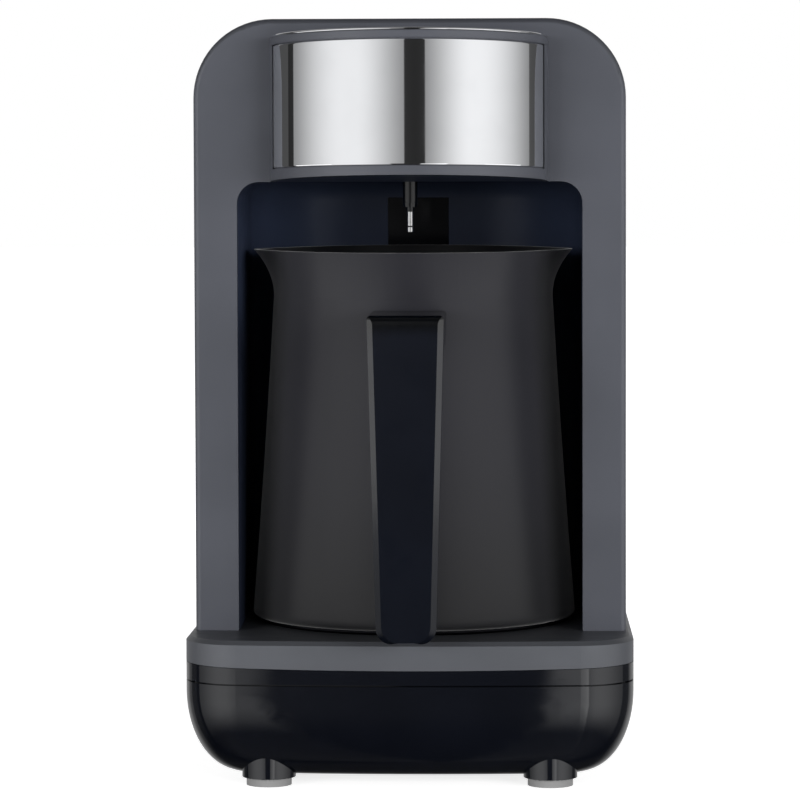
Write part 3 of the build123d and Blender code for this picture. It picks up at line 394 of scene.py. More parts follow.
@dataclass(frozen=True)
class GlossPlastic:
    """Polished plastic with faint moulding waves and hairline handling marks."""

    name: str
    colour: Colour
    roughness: float = 0.05
    wave: float = 18 * MM
    wave_depth: float = 0.01 * MM
    hairline: float = 0.05
    hair_width: float = 0.5 * MM
    hair_stretch: Colour = (40.0, 1.0, 1.0)
    hair_range: Range = (0.62, 0.75)
    bloom_size: float = 25 * MM
    bloom_range: Range = (0.35, 0.75)
    bloom_tone: float = 1.25
    bloom_haze: float = 0.02
    specular: float = 0.5

    def material(self) -> bpy.types.Material:
        """Builds the material.

        Returns:
            The material.
        """
        graph = material_graph(self.name)
        wave = graph.noise(self.wave, Detail.PLAIN)
        hair = graph.noise(self.hair_width, Detail.SOFT, self.hair_stretch)
        hair = hair.smooth_step(*self.hair_range)
        bloom = graph.noise(self.bloom_size, Detail.MEDIUM).smooth_step(*self.bloom_range)
        return graph.surface(
            {
                "Base Color": graph.tint(bloom, self.colour, scaled(self.colour, self.bloom_tone)),
                "Roughness": self.roughness + self.hairline * hair + self.bloom_haze * bloom,
                "Specular IOR Level": self.specular,
                "Normal": graph.bump(wave, self.wave_depth),
            }
        )


@dataclass(frozen=True)
class PlatedMetal:
    """Mirror plating with a trace of haze and very fine polishing lines."""

    name: str
    colour: Colour = (0.86, 0.87, 0.89)
    roughness: float = 0.035
    haze: float = 0.03
    haze_size: float = 14 * MM
    haze_range: Range = (0.4, 0.8)
    haze_tone: float = 0.97
    line_width: float = 0.35 * MM
    line_stretch: Colour = (60.0, 60.0, 1.0)
    line_depth: float = 0.0002 * MM

    def material(self) -> bpy.types.Material:
        """Builds the material.

        Returns:
            The material.
        """
        graph = material_graph(self.name)
        lines = graph.noise(self.line_width, Detail.SOFT, self.line_stretch)
        cloud = graph.noise(self.haze_size, Detail.MEDIUM).smooth_step(*self.haze_range)
        return graph.surface(
            {
                "Base Color": graph.tint(cloud, self.colour, scaled(self.colour, self.haze_tone)),
                "Metallic": 1.0,
                "Roughness": self.roughness + self.haze * cloud,
                "Normal": graph.bump(lines, self.line_depth),
            }
        )


@dataclass(frozen=True)
class SatinCoat:
    """Sprayed non-stick coat: orange peel, soft sheen, darker inside, scuffed foot, painted shade
    near the foot.
    """

    name: str
    colour: Colour
    inner_colour: Colour
    axis_y: float = 0.75 * MM
    inner_range: Range = (-4 * MM, -1 * MM)
    # Heights and share of the painted shade towards the foot.
    foot_shade_range: Range = (50 * MM, 118 * MM)
    foot_shade_tone: float = 0.3
    scuffed_range: Range = (50.5 * MM, 54 * MM)
    scuffing: float = 0.35
    roughness: float = 0.46
    specular: float = 0.42
    peel: float = 0.8 * MM
    peel_depth: float = 0.01 * MM
    peel_haze: float = 0.08
    clouding: float = 0.06
    cloud_size: float = 40 * MM
    speck: float = 0.12
    speck_size: float = 0.3 * MM
    speck_range: Range = (0.6, 0.72)
    speck_tone: float = 1.48
    sheen: float = 0.0
    sheen_roughness: float = 0.5

    def outward(self, graph: Graph) -> Signal:
        """Tells the pot's outside from its inside by the way that its surface faces.

        Args:
            graph: the material's tree.

        Returns:
            0 inside and 1 outside.
        """
        away = graph.axis("X") * graph.facing("X")
        away = away + (graph.axis("Y") - self.axis_y) * graph.facing("Y")
        return away.smooth_step(*self.inner_range)

    def material(self) -> bpy.types.Material:
        """Builds the material.

        Returns:
            The material.
        """
        graph = material_graph(self.name)
        peel = graph.noise(self.peel, Detail.MEDIUM)
        speck = graph.noise(self.speck_size, Detail.PLAIN).smooth_step(*self.speck_range)
        tone = graph.clouded(self.colour, self.cloud_size, self.clouding)
        outside = graph.tint(speck * self.speck, tone, scaled(self.colour, self.speck_tone))
        height = graph.axis("Z")
        # Painted shade: the outside colour darkens towards the foot; the scuffing changes roughness
        # alone.
        clear_of_foot_shade = height.smooth_step(*self.foot_shade_range)
        scuffed = 1.0 - height.smooth_step(*self.scuffed_range)
        outside = graph.tint(clear_of_foot_shade, scaled(self.colour, self.foot_shade_tone), outside)
        haze = self.peel_haze * (peel - 0.5) + self.scuffing * scuffed
        return graph.surface(
            {
                "Base Color": graph.tint(self.outward(graph), self.inner_colour, outside),
                "Roughness": self.roughness + haze,
                "Specular IOR Level": self.specular,
                "Sheen Weight": self.sheen,
                "Sheen Roughness": self.sheen_roughness,
                "Normal": graph.bump(peel, self.peel_depth),
            }
        )


class Brushing(Enum):
    """Direction of a metal's brush or lathe lines, as stretch along X, Y and Z."""

    NONE = (1.0, 1.0, 1.0)
    ALONG = (1.0, 1.0, 40.0)
    ACROSS = (40.0, 40.0, 1.0)


@dataclass(frozen=True)
class WorkedMetal:
    """Bare metal, brushed, turned or rolled, with stains in its lows."""

    name: str
    colour: Colour
    roughness: float = 0.3
    brushing: Brushing = Brushing.NONE
    line_width: float = 0.25 * MM
    line_depth: float = 0.004 * MM
    line_haze: float = 0.15
    stain: float = 0.15
    stain_size: float = 6 * MM
    stain_range: Range = (0.45, 0.75)
    stain_haze: float = 0.08

    def material(self) -> bpy.types.Material:
        """Builds the material.

        Returns:
            The material.
        """
        graph = material_graph(self.name)
        lines = graph.noise(self.line_width, Detail.MEDIUM, self.brushing.value)
        stain = graph.noise(self.stain_size, Detail.FINE).smooth_step(*self.stain_range)
        haze = self.line_haze * (lines - 0.5) + self.stain_haze * stain
        return graph.surface(
            {
                "Base Color": graph.tint(stain, self.colour, scaled(self.colour, 1 - self.stain)),
                "Metallic": 1.0,
                "Roughness": self.roughness + haze,
                "Normal": graph.bump(lines, self.line_depth),
            }
        )


@dataclass(frozen=True)
class Rubber:
    """Matt rubber with a dusty bloom and a coarse skin."""

    name: str
    colour: Colour
    roughness: float = 0.75
    specular: float = 0.35
    skin: float = 0.6 * MM
    skin_depth: float = 0.03 * MM
    skin_haze: float = 0.12
    dust: Colour = (0.30, 0.30, 0.29)
    dust_share: float = 0.25
    dust_size: float = 3 * MM
    dust_range: Range = (0.5, 0.8)

    def material(self) -> bpy.types.Material:
        """Builds the material.

        Returns:
            The material.
        """
        graph = material_graph(self.name)
        skin = graph.noise(self.skin, Detail.FINE)
        dusting = graph.noise(self.dust_size, Detail.DUSTY).smooth_step(*self.dust_range)
        return graph.surface(
            {
                "Base Color": graph.tint(dusting * self.dust_share, self.colour, self.dust),
                "Roughness": self.roughness + self.skin_haze * (skin - 0.5),
                "Specular IOR Level": self.specular,
                "Normal": graph.bump(skin, self.skin_depth),
            }
        )


@dataclass(frozen=True)
class BoardLaminate:
    """Circuit board: lacquer over copper tracks on a grid."""

    name: str
    lacquer: Colour = (0.010, 0.075, 0.035)
    copper: Colour = (0.035, 0.16, 0.06)
    roughness: float = 0.3
    track_pitch: float = 2.54 * MM
    track_range: Range = (0.40, 0.46)
    track_shift: float = 0.35
    track_haze: float = 0.1
    track_depth: float = 0.035 * MM

    def material(self) -> bpy.types.Material:
        """Builds the material.

        Returns:
            The material.
        """
        graph = material_graph(self.name)
        settings = {"distance": "MANHATTAN", "feature": "F1"}
        scale = 1.0 / self.track_pitch
        inputs = {"Vector": graph.place(), "Scale": scale, "Randomness": self.track_shift}
        cell = graph.node("ShaderNodeTexVoronoi", settings, inputs, "Distance")
        track = cell.smooth_step(*self.track_range)
        return graph.surface(
            {
                "Base Color": graph.tint(track, self.lacquer, self.copper),
                "Roughness": self.roughness + self.track_haze * track,
                "Normal": graph.bump(track, self.track_depth),
            }
        )


@dataclass(frozen=True)
class FrostedPlastic:
    """Milky light guide with a lit tint in its depth."""

    name: str
    colour: Colour = (0.62, 0.66, 0.70)
    roughness: float = 0.28
    frost: float = 0.5 * MM
    frost_depth: float = 0.01 * MM
    frost_haze: float = 0.12
    frost_tone: float = 0.9
    milkiness: float = 0.2
    light_depth: float = 1.5 * MM

    def material(self) -> bpy.types.Material:
        """Builds the material.

        Returns:
            The material.
        """
        graph = material_graph(self.name)
        frost = graph.noise(self.frost, Detail.MEDIUM)
        return graph.surface(
            {
                "Base Color": graph.tint(frost, scaled(self.colour, self.frost_tone), self.colour),
                "Roughness": self.roughness + self.frost_haze * frost,
                "Subsurface Weight": self.milkiness,
                "Subsurface Scale": self.light_depth,
                "Normal": graph.bump(frost, self.frost_depth),
            }
        )


Finish = Union[
    MouldedPlastic,
    GlossPlastic,
    PlatedMetal,
    SatinCoat,
    WorkedMetal,
    Rubber,
    BoardLaminate,
    FrostedPlastic,
]
Finishes = tuple[tuple[str, Finish], ...]

# Casing and deck paint shade on their upward faces (upward=0.6).
CASING = MouldedPlastic("casing_grey", linear(74, 76, 83), upward=0.6)
DECK = MouldedPlastic("deck_grey", linear(78, 80, 85), upward=0.6)
LINER = MouldedPlastic("liner_dark", linear(46, 53, 71), roughness=0.45, specular=0.4)
WINDOW = GlossPlastic("window_dark", linear(10, 11, 15), roughness=0.08)
PIANO_BLACK = GlossPlastic("gloss_black", linear(11, 13, 19), wave_depth=0.003 * MM, specular=0.8)
CHROME = PlatedMetal("chrome_band")
# The pot coat carries painted shade towards its foot.
POT_COAT = SatinCoat("pot_coat", linear(27, 27, 33), linear(5, 6, 9), sheen=0.3)
POT_DISC = WorkedMetal("pot_disc", linear(34, 34, 38), 0.5)
# The handle's top bend gets a painted shade colour.
HANDLE_BLACK = HandleMoulding("handle_black", linear(11, 14, 22), top_shade_colour=linear(2, 3, 5))
BUTTON_BLACK = MouldedPlastic("button_black", linear(22, 23, 26), 0.34)
LIGHT_GUIDE = FrostedPlastic("ring_clear")
GREY_RUBBER = Rubber("grey_rubber", linear(140, 140, 140))
BLACK_RUBBER = Rubber("black_rubber", linear(24, 24, 26))
PLATE_METAL = WorkedMetal("plate_metal", linear(92, 94, 98), 0.42)
ELEMENT_STEEL = WorkedMetal("element_steel", linear(150, 146, 140), 0.35, Brushing.ACROSS)
SHIELD_METAL = WorkedMetal("shield_metal", linear(190, 192, 195), 0.3, Brushing.ACROSS)
PROBE_STEEL = WorkedMetal("probe_steel", linear(215, 215, 215), 0.18, Brushing.ALONG)
SCREW_STEEL = WorkedMetal("screw_steel", linear(170, 172, 175), 0.3)
LAMINATE = BoardLaminate("circuit_board")
COMPONENT = MouldedPlastic("component_dark", linear(30, 30, 33), 0.4)


class PaintShop:
    """Makes each finish's material once, and puts it on CAD nodes and new pieces."""

    def __init__(self) -> None:
        """Starts with no material made."""
        self.made: dict[str, bpy.types.Material] = {}

    def material(self, finish: Finish) -> bpy.types.Material:
        """Makes a finish's material when it is first asked for.

        Args:
            finish: the finish.

        Returns:
            Its material.
        """
        if finish.name not in self.made:
            self.made[finish.name] = finish.material()
        return self.made[finish.name]

    def dress(self, node: str, finish: Finish) -> None:
        """Puts a finish on a CAD node.

        Args:
            node: the node's name.
            finish: its finish.
        """
        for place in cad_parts[node].material_slots:
            place.material = self.material(finish)
        LOG.info("%s: %s", node, finish.name)


# --- mesh work ---


class Body(Enum):
    """Rigid bodies of the machine, by their names in the frame."""

    HOUSING = "housing"
    POT = "pot"
    BUTTON = "start_button"


def add_object(name: str, data: bpy.types.ID) -> bpy.types.Object:
    """Adds an object to the scene.

    Args:
        name: its name.
        data: its mesh, lamp or camera.

    Returns:
        The object.
    """
    made = bpy.data.objects.new(name, data)
    bpy.context.scene.collection.objects.link(made)
    return made


@dataclass
class Skin:
    """Points and faces of a closed piece."""

    points: list[Vector] = field(default_factory=list)
    faces: list[tuple[int, ...]] = field(default_factory=list)

    def band(self, first: int, second: int, count: int, around: bool = True) -> None:
        """Joins two rows of points by four-sided faces.

        Args:
            first: index of the first row's first point.
            second: index of the second row's first point.
            count: number of points in a row.
            around: whether the rows are rings.
        """
        for step in range(count if around else count - 1):
            after = (step + 1) % count
            self.faces.append((first + step, first + after, second + after, second + step))

    def piece(self, name: str, finish: Finish, body: Body, shop: PaintShop) -> bpy.types.Object:
        """Makes the skin an object that rides on a body.

        Args:
            name: the object's name.
            finish: its finish, which has the name of a material slot.
            body: the body that it moves with.
            shop: where its material is made.

        Returns:
            The new object.
        """
        mesh = bpy.data.meshes.new(name)
        mesh.from_pydata([tuple(point) for point in self.points], [], self.faces)
        work = bmesh.new()
        work.from_mesh(mesh)
        bmesh.ops.recalc_face_normals(work, faces=work.faces)
        work.to_mesh(mesh)
        work.free()
        mesh.materials.append(shop.material(finish))
        made = add_object(name, mesh)
        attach(made, body.value)
        LOG.info("%s: made, %s", name, finish.name)
        return made


def wire(path: Sequence[Vector], radius: float, closed: bool, sides: int = 12) -> Skin:
    """Round wire along a nearly level path.

    Args:
        path: points along its middle.
        radius: the wire's radius.
        closed: whether its ends meet.
        sides: number of points round the wire.

    Returns:
        Its skin, smooth all round.
    """
    skin = Skin()
    last = len(path) - 1
    for index, middle in enumerate(path):
        before = path[index - 1] if closed or index else middle
        after = path[(index + 1) % len(path)] if closed or index < last else middle
        along = (after - before).normalized()
        side = along.cross(Vector((0.0, 0.0, 1.0))).normalized()
        over = side.cross(along)
        for step in range(sides):
            turn = math.tau * step / sides
            reach = math.cos(turn) * side + math.sin(turn) * over
            skin.points.append(middle + radius * reach)
    for index in range(len(path) if closed else last):
        skin.band(index * sides, (index + 1) % len(path) * sides, sides)
    if not closed:
        skin.faces.append(tuple(range(sides)))
        skin.faces.append(tuple(range(last * sides, last * sides + sides)))
    return skin


@dataclass(frozen=True)
class ScrewFace:
    """Domed top of a screw's head, with the cross recess that the driver takes."""

    radius: float = 2.7 * MM
    height: float = 0.4 * MM
    rounding: float = 0.25 * MM
    arm_length: float = 1.7 * MM
    arm_width: float = 0.55 * MM
    draught: float = 0.75
    steps: int = 96
    least: float = 1e-6

    def cross(self, turn: float) -> float:
        """Finds the recess's edge in one direction.

        Args:
            turn: the direction, in radians.

        Returns:
            Its distance from the middle.
        """
        across = max(abs(math.cos(turn)), self.least)
        along = max(abs(math.sin(turn)), self.least)
        flat = min(self.arm_length / across, self.arm_width / 2 / along)
        upright = min(self.arm_width / 2 / across, self.arm_length / along)
        return max(flat, upright)

    def skin(self, seat: Vector, outward: Vector) -> Skin:
        """Builds the head's top.

        Args:
            seat: middle of the plain head that it lies on.
            outward: direction in which the screw's head faces.

        Returns:
            Its skin.
        """
        turn_out = outward.to_track_quat("Z", "Y").to_matrix()
        turns = [math.tau * step / self.steps for step in range(self.steps)]
        recess = [self.cross(turn) for turn in turns]
        rings = (
            ([self.radius] * self.steps, 0.0),
            ([self.radius] * self.steps, self.height - self.rounding),
            ([self.radius - self.rounding] * self.steps, self.height),
            (recess, self.height),
            ([edge * self.draught for edge in recess], 0.0),
        )
        skin = Skin()
        for reaches, rise in rings:
            for turn, reach in zip(turns, reaches):
                local = Vector((reach * math.cos(turn), reach * math.sin(turn), rise))
                skin.points.append(seat + turn_out @ local)
        for ring in range(len(rings)):
            skin.band(ring * self.steps, (ring + 1) % len(rings) * self.steps, self.steps)
        return skin


# --- sub-assemblies ---


@dataclass(frozen=True)
class SubAssembly:
    """Nodes of the frame that belong together, with their finishes."""

    finishes: Finishes = ()

    def build(self, shop: PaintShop) -> None:
        """Dresses the nodes.

        Args:
            shop: where the materials are made.
        """
        for node, finish in self.finishes:
            shop.dress(node, finish)


@dataclass(frozen=True)
class Tower(SubAssembly):
    """Arched casing with its niche, sensor window, rear cover and cord bush."""

    screw_x: float = 65.6 * MM
    screw_heights: tuple[float, ...] = (66.0 * MM, 214.0 * MM)
    screw_y: float = 76.45 * MM
    screw_face: ScrewFace = ScrewFace()
    finishes: Finishes = (
        ("tower_front", CASING),
        ("niche_liner", LINER),
        ("sensor_window", WINDOW),
        ("sensor_board", LAMINATE),
        ("rear_cover", CASING),
        ("cord_gland", BLACK_RUBBER),
        ("cover_screws", SCREW_STEEL),
    )

    def build(self, shop: PaintShop) -> None:
        """Dresses the casing's nodes and puts the recesses on the cover screws.

        Args:
            shop: where the materials are made.
        """
        super().build(shop)
        for row, height in enumerate(self.screw_heights):
            for column, side in enumerate((-1, 1)):
                seat = Vector((side * self.screw_x, self.screw_y, height))
                skin = self.screw_face.skin(seat, Vector((0.0, 1.0, 0.0)))
                skin.piece(f"cover_screw_face_{row}{column}", SCREW_STEEL, Body.HOUSING, shop)


@dataclass(frozen=True)
class Base(SubAssembly):
    """Bowl, belt and deck of the base, its feet and the hot plate."""

    screw_x: float = 52.0 * MM
    screw_y: tuple[float, ...] = (-25.75 * MM, 41.75 * MM)
    screw_z: float = 7.2 * MM
    screw_face: ScrewFace = ScrewFace()
    finishes: Finishes = (
        ("base_pan", PIANO_BLACK),
        ("base_belt", PIANO_BLACK),
        ("deck", DECK),
        ("hot_plate", PLATE_METAL),
        ("plate_gasket", BLACK_RUBBER),
        ("rubber_feet", GREY_RUBBER),
        ("base_screws", SCREW_STEEL),
    )

    def build(self, shop: PaintShop) -> None:
        """Dresses the base's nodes and puts the recesses on its screws.

        Args:
            shop: where the materials are made.
        """
        super().build(shop)
        for row, depth in enumerate(self.screw_y):
            for column, side in enumerate((-1, 1)):
                seat = Vector((side * self.screw_x, depth, self.screw_z))
                skin = self.screw_face.skin(seat, Vector((0.0, 0.0, -1.0)))
                skin.piece(f"base_screw_face_{row}{column}", SCREW_STEEL, Body.HOUSING, shop)


@dataclass(frozen=True)
class Heater(SubAssembly):
    """Heating element under the plate, with its shield and cut-outs."""

    finishes: Finishes = (
        ("heating_element", ELEMENT_STEEL),
        ("heat_shield", SHIELD_METAL),
        ("thermostat", COMPONENT),
        ("thermal_fuse", COMPONENT),
    )


@dataclass(frozen=True)
class Head(SubAssembly):
    """Half-round head with its plated band, cap, bright bead and start button."""

    face_y: float = -36.75 * MM
    half_width: float = 45.5 * MM
    reach: float = 36.0 * MM
    top: float = 244.1 * MM
    rise: float = 2.3 * MM
    bead_radius: float = 0.42 * MM
    bead_inset: float = 0.28 * MM
    bead_start: float = math.radians(12.0)
    steps: int = 128
    band_half: float = 43.95 * MM
    band_thickness: float = 0.75 * MM
    band_bottom: float = 201.0 * MM
    band_top: float = 240.55 * MM
    band_bottom_rise: float = 1.65 * MM
    band_edge: float = 0.22 * MM
    band_crease: float = math.radians(40.0)
    finishes: Finishes = (
        ("head_shell", CASING),
        ("head_underside", LINER),
        ("chrome_band", CHROME),
        ("head_cap", CASING),
        ("button_ring", LIGHT_GUIDE),
        ("start_button", BUTTON_BLACK),
        ("switch_plunger", COMPONENT),
    )

    def bead(self, shop: PaintShop) -> None:
        """Puts the thin plated bead round the upper edge of the cap.

        Args:
            shop: where its material is made.
        """
        path = []
        for step in range(self.steps + 1):
            turn = self.bead_start + (math.pi - 2 * self.bead_start) * step / self.steps
            depth = (self.reach - self.bead_inset) * math.sin(turn)
            height = self.top - self.bead_inset + self.rise * depth / self.reach
            across = (self.half_width - self.bead_inset) * math.cos(turn)
            path.append(Vector((across, self.face_y - depth, height)))
        made = wire(path, self.bead_radius, closed=False)
        made.piece("cap_bead", CHROME, Body.HOUSING, shop).data.shade_smooth()

    def band_point(self, share: float, inset: float, height: float) -> Vector:
        """One point of the plated band.

        Args:
            share: how far along the band it is, from 0 to 1.
            inset: how far it lies under the outer face.
            height: how far up the band it is, from 0 to 1.

        Returns:
            The point.
        """
        half, reach = self.half_width - inset, self.reach - inset
        start = math.acos(self.band_half / half)
        turn = start + (math.pi - 2 * start) * share
        depth = reach * math.sin(turn)
        low = self.band_bottom + self.band_bottom_rise * depth / self.reach
        high = self.band_top + self.rise * depth / self.reach
        return Vector((half * math.cos(turn), self.face_y - depth, low + (high - low) * height))

    def band(self, shop: PaintShop) -> None:
        """Makes the plated band with eased edges, in the place of its plain node.

        Args:
            shop: where its material is made.
        """
        tall = self.band_top - self.band_bottom
        ease, slope = self.band_edge, self.band_edge * (1 - math.sqrt(0.5))
        stay = 2 * ease
        upper = (
            (self.band_thickness, 1.0),
            (ease, 1.0),
            (slope, 1.0 - slope / tall),
            (0.0, 1.0 - ease / tall),
            (0.0, 1.0 - stay / tall),
        )
        lower = tuple((inset, 1.0 - height) for inset, height in reversed(upper))
        section = upper + lower
        skin = Skin()
        for step in range(self.steps + 1):
            for inset, height in section:
                skin.points.append(self.band_point(step / self.steps, inset, height))
        count = len(section)
        for step in range(self.steps):
            skin.band(step * count, (step + 1) * count, count)
        skin.faces.append(tuple(range(count)))
        skin.faces.append(tuple(range(self.steps * count, (self.steps + 1) * count)))
        made = skin.piece("plated_band", CHROME, Body.HOUSING, shop)
        made.data.shade_smooth()
        made.data.set_sharp_from_angle(angle=self.band_crease)
        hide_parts("chrome_band")

    def build(self, shop: PaintShop) -> None:
        """Dresses the head's nodes, and makes its band and bead.

        Args:
            shop: where the materials are made.
        """
        super().build(shop)
        self.band(shop)
        self.bead(shop)


@dataclass(frozen=True)
class Controls(SubAssembly):
    """Boards and components inside the tower and the head."""

    finishes: Finishes = (
        ("tact_switch", COMPONENT),
        ("control_board", LAMINATE),
        ("buzzer", COMPONENT),
        ("power_board", LAMINATE),
        ("relay", COMPONENT),
        ("transformer", COMPONENT),
        ("board_screws", SCREW_STEEL),
    )


@dataclass(frozen=True)
class Probe(SubAssembly):
    """Foam probe that hangs from the head over the pot."""

    finishes: Finishes = (
        ("probe_sleeve", HANDLE_BLACK),
        ("probe_electrode", PROBE_STEEL),
        ("probe_insulator", COMPONENT),
        ("probe_tip", PROBE_STEEL),
    )


@dataclass(frozen=True)
class Pot(SubAssembly):
    """Coated pot with embossed fill rings on its inner wall."""

    axis_y: float = 0.75 * MM
    foot_z: float = 48.95 * MM
    neck_rise: float = 109.3 * MM
    foot_radius: float = 54.5 * MM
    neck_radius: float = 47.0 * MM
    hollow: float = 0.35 * MM
    wall: float = 1.4 * MM
    ring_rises: tuple[float, ...] = (42.0 * MM, 84.0 * MM)
    ring_radius: float = 0.4 * MM
    ring_steps: int = 160
    ring_sides: int = 8
    finishes: Finishes = (
        ("pot_body", POT_COAT),
        ("pot_base", POT_DISC),
    )

    def inner_radius(self, rise: float) -> float:
        """Works out the inner wall's radius.

        Args:
            rise: height above the pot's foot.

        Returns:
            The radius at that height.
        """
        share = rise / self.neck_rise
        straight = self.foot_radius + share * (self.neck_radius - self.foot_radius)
        return straight - 4 * self.hollow * share * (1 - share) - self.wall

    def fill_ring(self, index: int, rise: float, shop: PaintShop) -> None:
        """Puts one ring on the inner wall.

        Args:
            index: the ring's number, from the bottom.
            rise: its height above the pot's foot.
            shop: where its material is made.
        """
        radius = self.inner_radius(rise)
        path = []
        for step in range(self.ring_steps):
            turn = math.tau * step / self.ring_steps
            across, depth = radius * math.cos(turn), radius * math.sin(turn)
            path.append(Vector((across, self.axis_y + depth, self.foot_z + rise)))
        made = wire(path, self.ring_radius, closed=True, sides=self.ring_sides)
        made.piece(f"fill_ring_{index}", POT_COAT, Body.POT, shop).data.shade_smooth()

    def build(self, shop: PaintShop) -> None:
        """Dresses the pot's nodes and adds the fill rings.

        Args:
            shop: where the materials are made.
        """
        super().build(shop)
        for index, rise in enumerate(self.ring_rises):
            self.fill_ring(index, rise, shop)


@dataclass(frozen=True)
class Handle(SubAssembly):
    """Two mouldings of the handle, with the bracket and screw that hold them."""

    finishes: Finishes = (
        ("handle_grip", HANDLE_BLACK),
        ("handle_back", HANDLE_BLACK),
        ("handle_bracket", POT_DISC),
        ("handle_screw", SCREW_STEEL),
    )


# --- studio ---


def sheet(name: str, corners: Sequence[Colour], finish: bpy.types.Material) -> bpy.types.Object:
    """Makes a flat sheet of the studio.

    Args:
        name: the sheet's name.
        corners: its four corners, in order.
        finish: its material.

    Returns:
        The sheet.
    """
    mesh = bpy.data.meshes.new(name)
    mesh.from_pydata(corners, [], [(0, 1, 2, 3)])
    mesh.materials.append(finish)
    return add_object(name, mesh)


@dataclass(frozen=True)
class Lamp:
    """A soft rectangular lamp that points at the machine and shows in no reflection."""

    name: str
    place: Colour
    size: tuple[float, float]
    power: float

    def build(self, target: Vector) -> None:
        """Makes the lamp.

        Args:
            target: the point that it faces.
        """
        data = bpy.data.lights.new(self.name, "AREA")
        data.shape = "RECTANGLE"
        data.size, data.size_y = self.size
        data.energy = self.power
        lamp = add_object(self.name, data)
        lamp.location = self.place
        aim = target - lamp.location
        lamp.rotation_euler = aim.to_track_quat("-Z", "Y").to_euler()
        lamp.visible_glossy = False


@dataclass(frozen=True)
class SoftBox:
    """Tall soft box in the surroundings, between bearings in degrees from the front."""

    start: float
    full: float
    fade: float
    end: float
    gain: float

    def glow(self, bearing: Signal) -> Signal:
        """Works out its light.

        Args:
            bearing: degrees from the front, to the right.

        Returns:
            What it adds at that bearing.
        """
        rise = bearing.smooth_step(self.start, self.full)
        fall = 1.0 - bearing.smooth_step(self.fade, self.end)
        return rise * fall * self.gain


@dataclass(frozen=True)
class Card:
    """Dark or bright card in the surroundings, between bearings and heights in degrees."""

    start: float
    end: float
    level: float
    edge: float = 0.4
    low: float = -120.0
    high: float = 120.0
    height_edge: float = 1.0

    def share(self, bearing: Signal, height: Signal) -> Signal:
        """Share of the surroundings' light that comes from there.

        Args:
            bearing: degrees from the front, to the right.
            height: degrees above the horizon.

        Returns:
            The share, under 1 on a dark card and over 1 on a bright one.
        """
        side, rim = self.edge, self.height_edge
        cover = bearing.smooth_step(self.start - side, self.start + side)
        cover = cover * (1.0 - bearing.smooth_step(self.end - side, self.end + side))
        cover = cover * height.smooth_step(self.low - rim, self.low + rim)
        cover = cover * (1.0 - height.smooth_step(self.high - rim, self.high + rim))
        return 1.0 - cover * (1.0 - self.level)


@dataclass(frozen=True)
class Surroundings:
    """White studio, with soft boxes and cards that show in reflections."""

    colour: Colour = (1.0, 1.0, 1.0)
    base: float = 0.25
    rear: float = 0.28
    rear_start: float = 130.0
    rear_full: float = 146.0
    boxes: tuple[SoftBox, ...] = (
        SoftBox(-106.0, -45.0, -36.0, 5.5, 0.70),
        SoftBox(3.0, 44.5, 48.5, 118.0, 0.75),
    )
    cards: tuple[Card, ...] = (
        Card(-125.0, -106.6, 0.3),
        Card(-106.6, -97.6, 0.1),
        Card(-2.8, 10.9, 0.1, low=-3.0),
        Card(-12.0, 7.8, 0.1, edge=0.8, high=-3.0),
        Card(7.8, 26.0, 2.5, edge=1.4, high=-3.0),
        Card(107.5, 131.0, 0.3),
    )
    ceiling_start: float = 32.0
    ceiling_end: float = 62.0
    ceiling: float = 0.15
    table_start: float = -46.0
    table_end: float = -15.0
    table: float = 0.05
    horizon: float = 0.5
    zenith: float = 0.1
    zenith_height: float = 50.0

    def reflection(self, bearing: Signal, height: Signal) -> Signal:
        """Works out the light that polished pieces reflect.

        Args:
            bearing: degrees from the front, to the right.
            height: degrees above the horizon.

        Returns:
            The light from there.
        """
        turned = bearing.math("ABSOLUTE", bearing)
        level = self.base + self.rear * turned.smooth_step(self.rear_start, self.rear_full)
        for box in self.boxes:
            level = level + box.glow(bearing)
        for card in self.cards:
            level = level * card.share(bearing, height)
        over = height.smooth_step(self.ceiling_start, self.ceiling_end)
        under = height.smooth_step(self.table_start, self.table_end)
        level = level * (1.0 - over * (1.0 - self.ceiling))
        return level * (self.table + under * (1.0 - self.table))

    def build(self) -> None:
        """Makes the world: white where it is seen, softer as light on the machine."""
        world = bpy.data.worlds.new("surroundings")
        bpy.context.scene.world = world
        graph = Graph(world)
        direction = graph.node("ShaderNodeTexCoord", output="Generated")
        parts = graph.make("ShaderNodeSeparateXYZ", inputs={0: direction})
        across, along, upward = (Signal(graph, parts.outputs[name]) for name in "XYZ")
        degrees = 180.0 / math.pi
        bearing = across.math("ARCTAN2", across, along * -1.0) * degrees
        height = upward.math("ARCSINE", upward) * degrees
        path = graph.make("ShaderNodeLightPath")
        camera, glossy, through = (
            Signal(graph, path.outputs[name])
            for name in ("Is Camera Ray", "Is Glossy Ray", "Is Transmission Ray")
        )
        seen = camera.math("MAXIMUM", camera, through)
        fall = height.smooth_step(0.0, self.zenith_height)
        ambient = self.horizon - fall * (self.horizon - self.zenith)
        mirrored = glossy * self.reflection(bearing, height)
        strength = seen + (1.0 - seen) * (mirrored + (1.0 - glossy) * ambient)
        inputs = {"Color": self.colour, "Strength": strength}
        light = graph.node("ShaderNodeBackground", inputs=inputs)
        graph.make("ShaderNodeOutputWorld", inputs={"Surface": light})


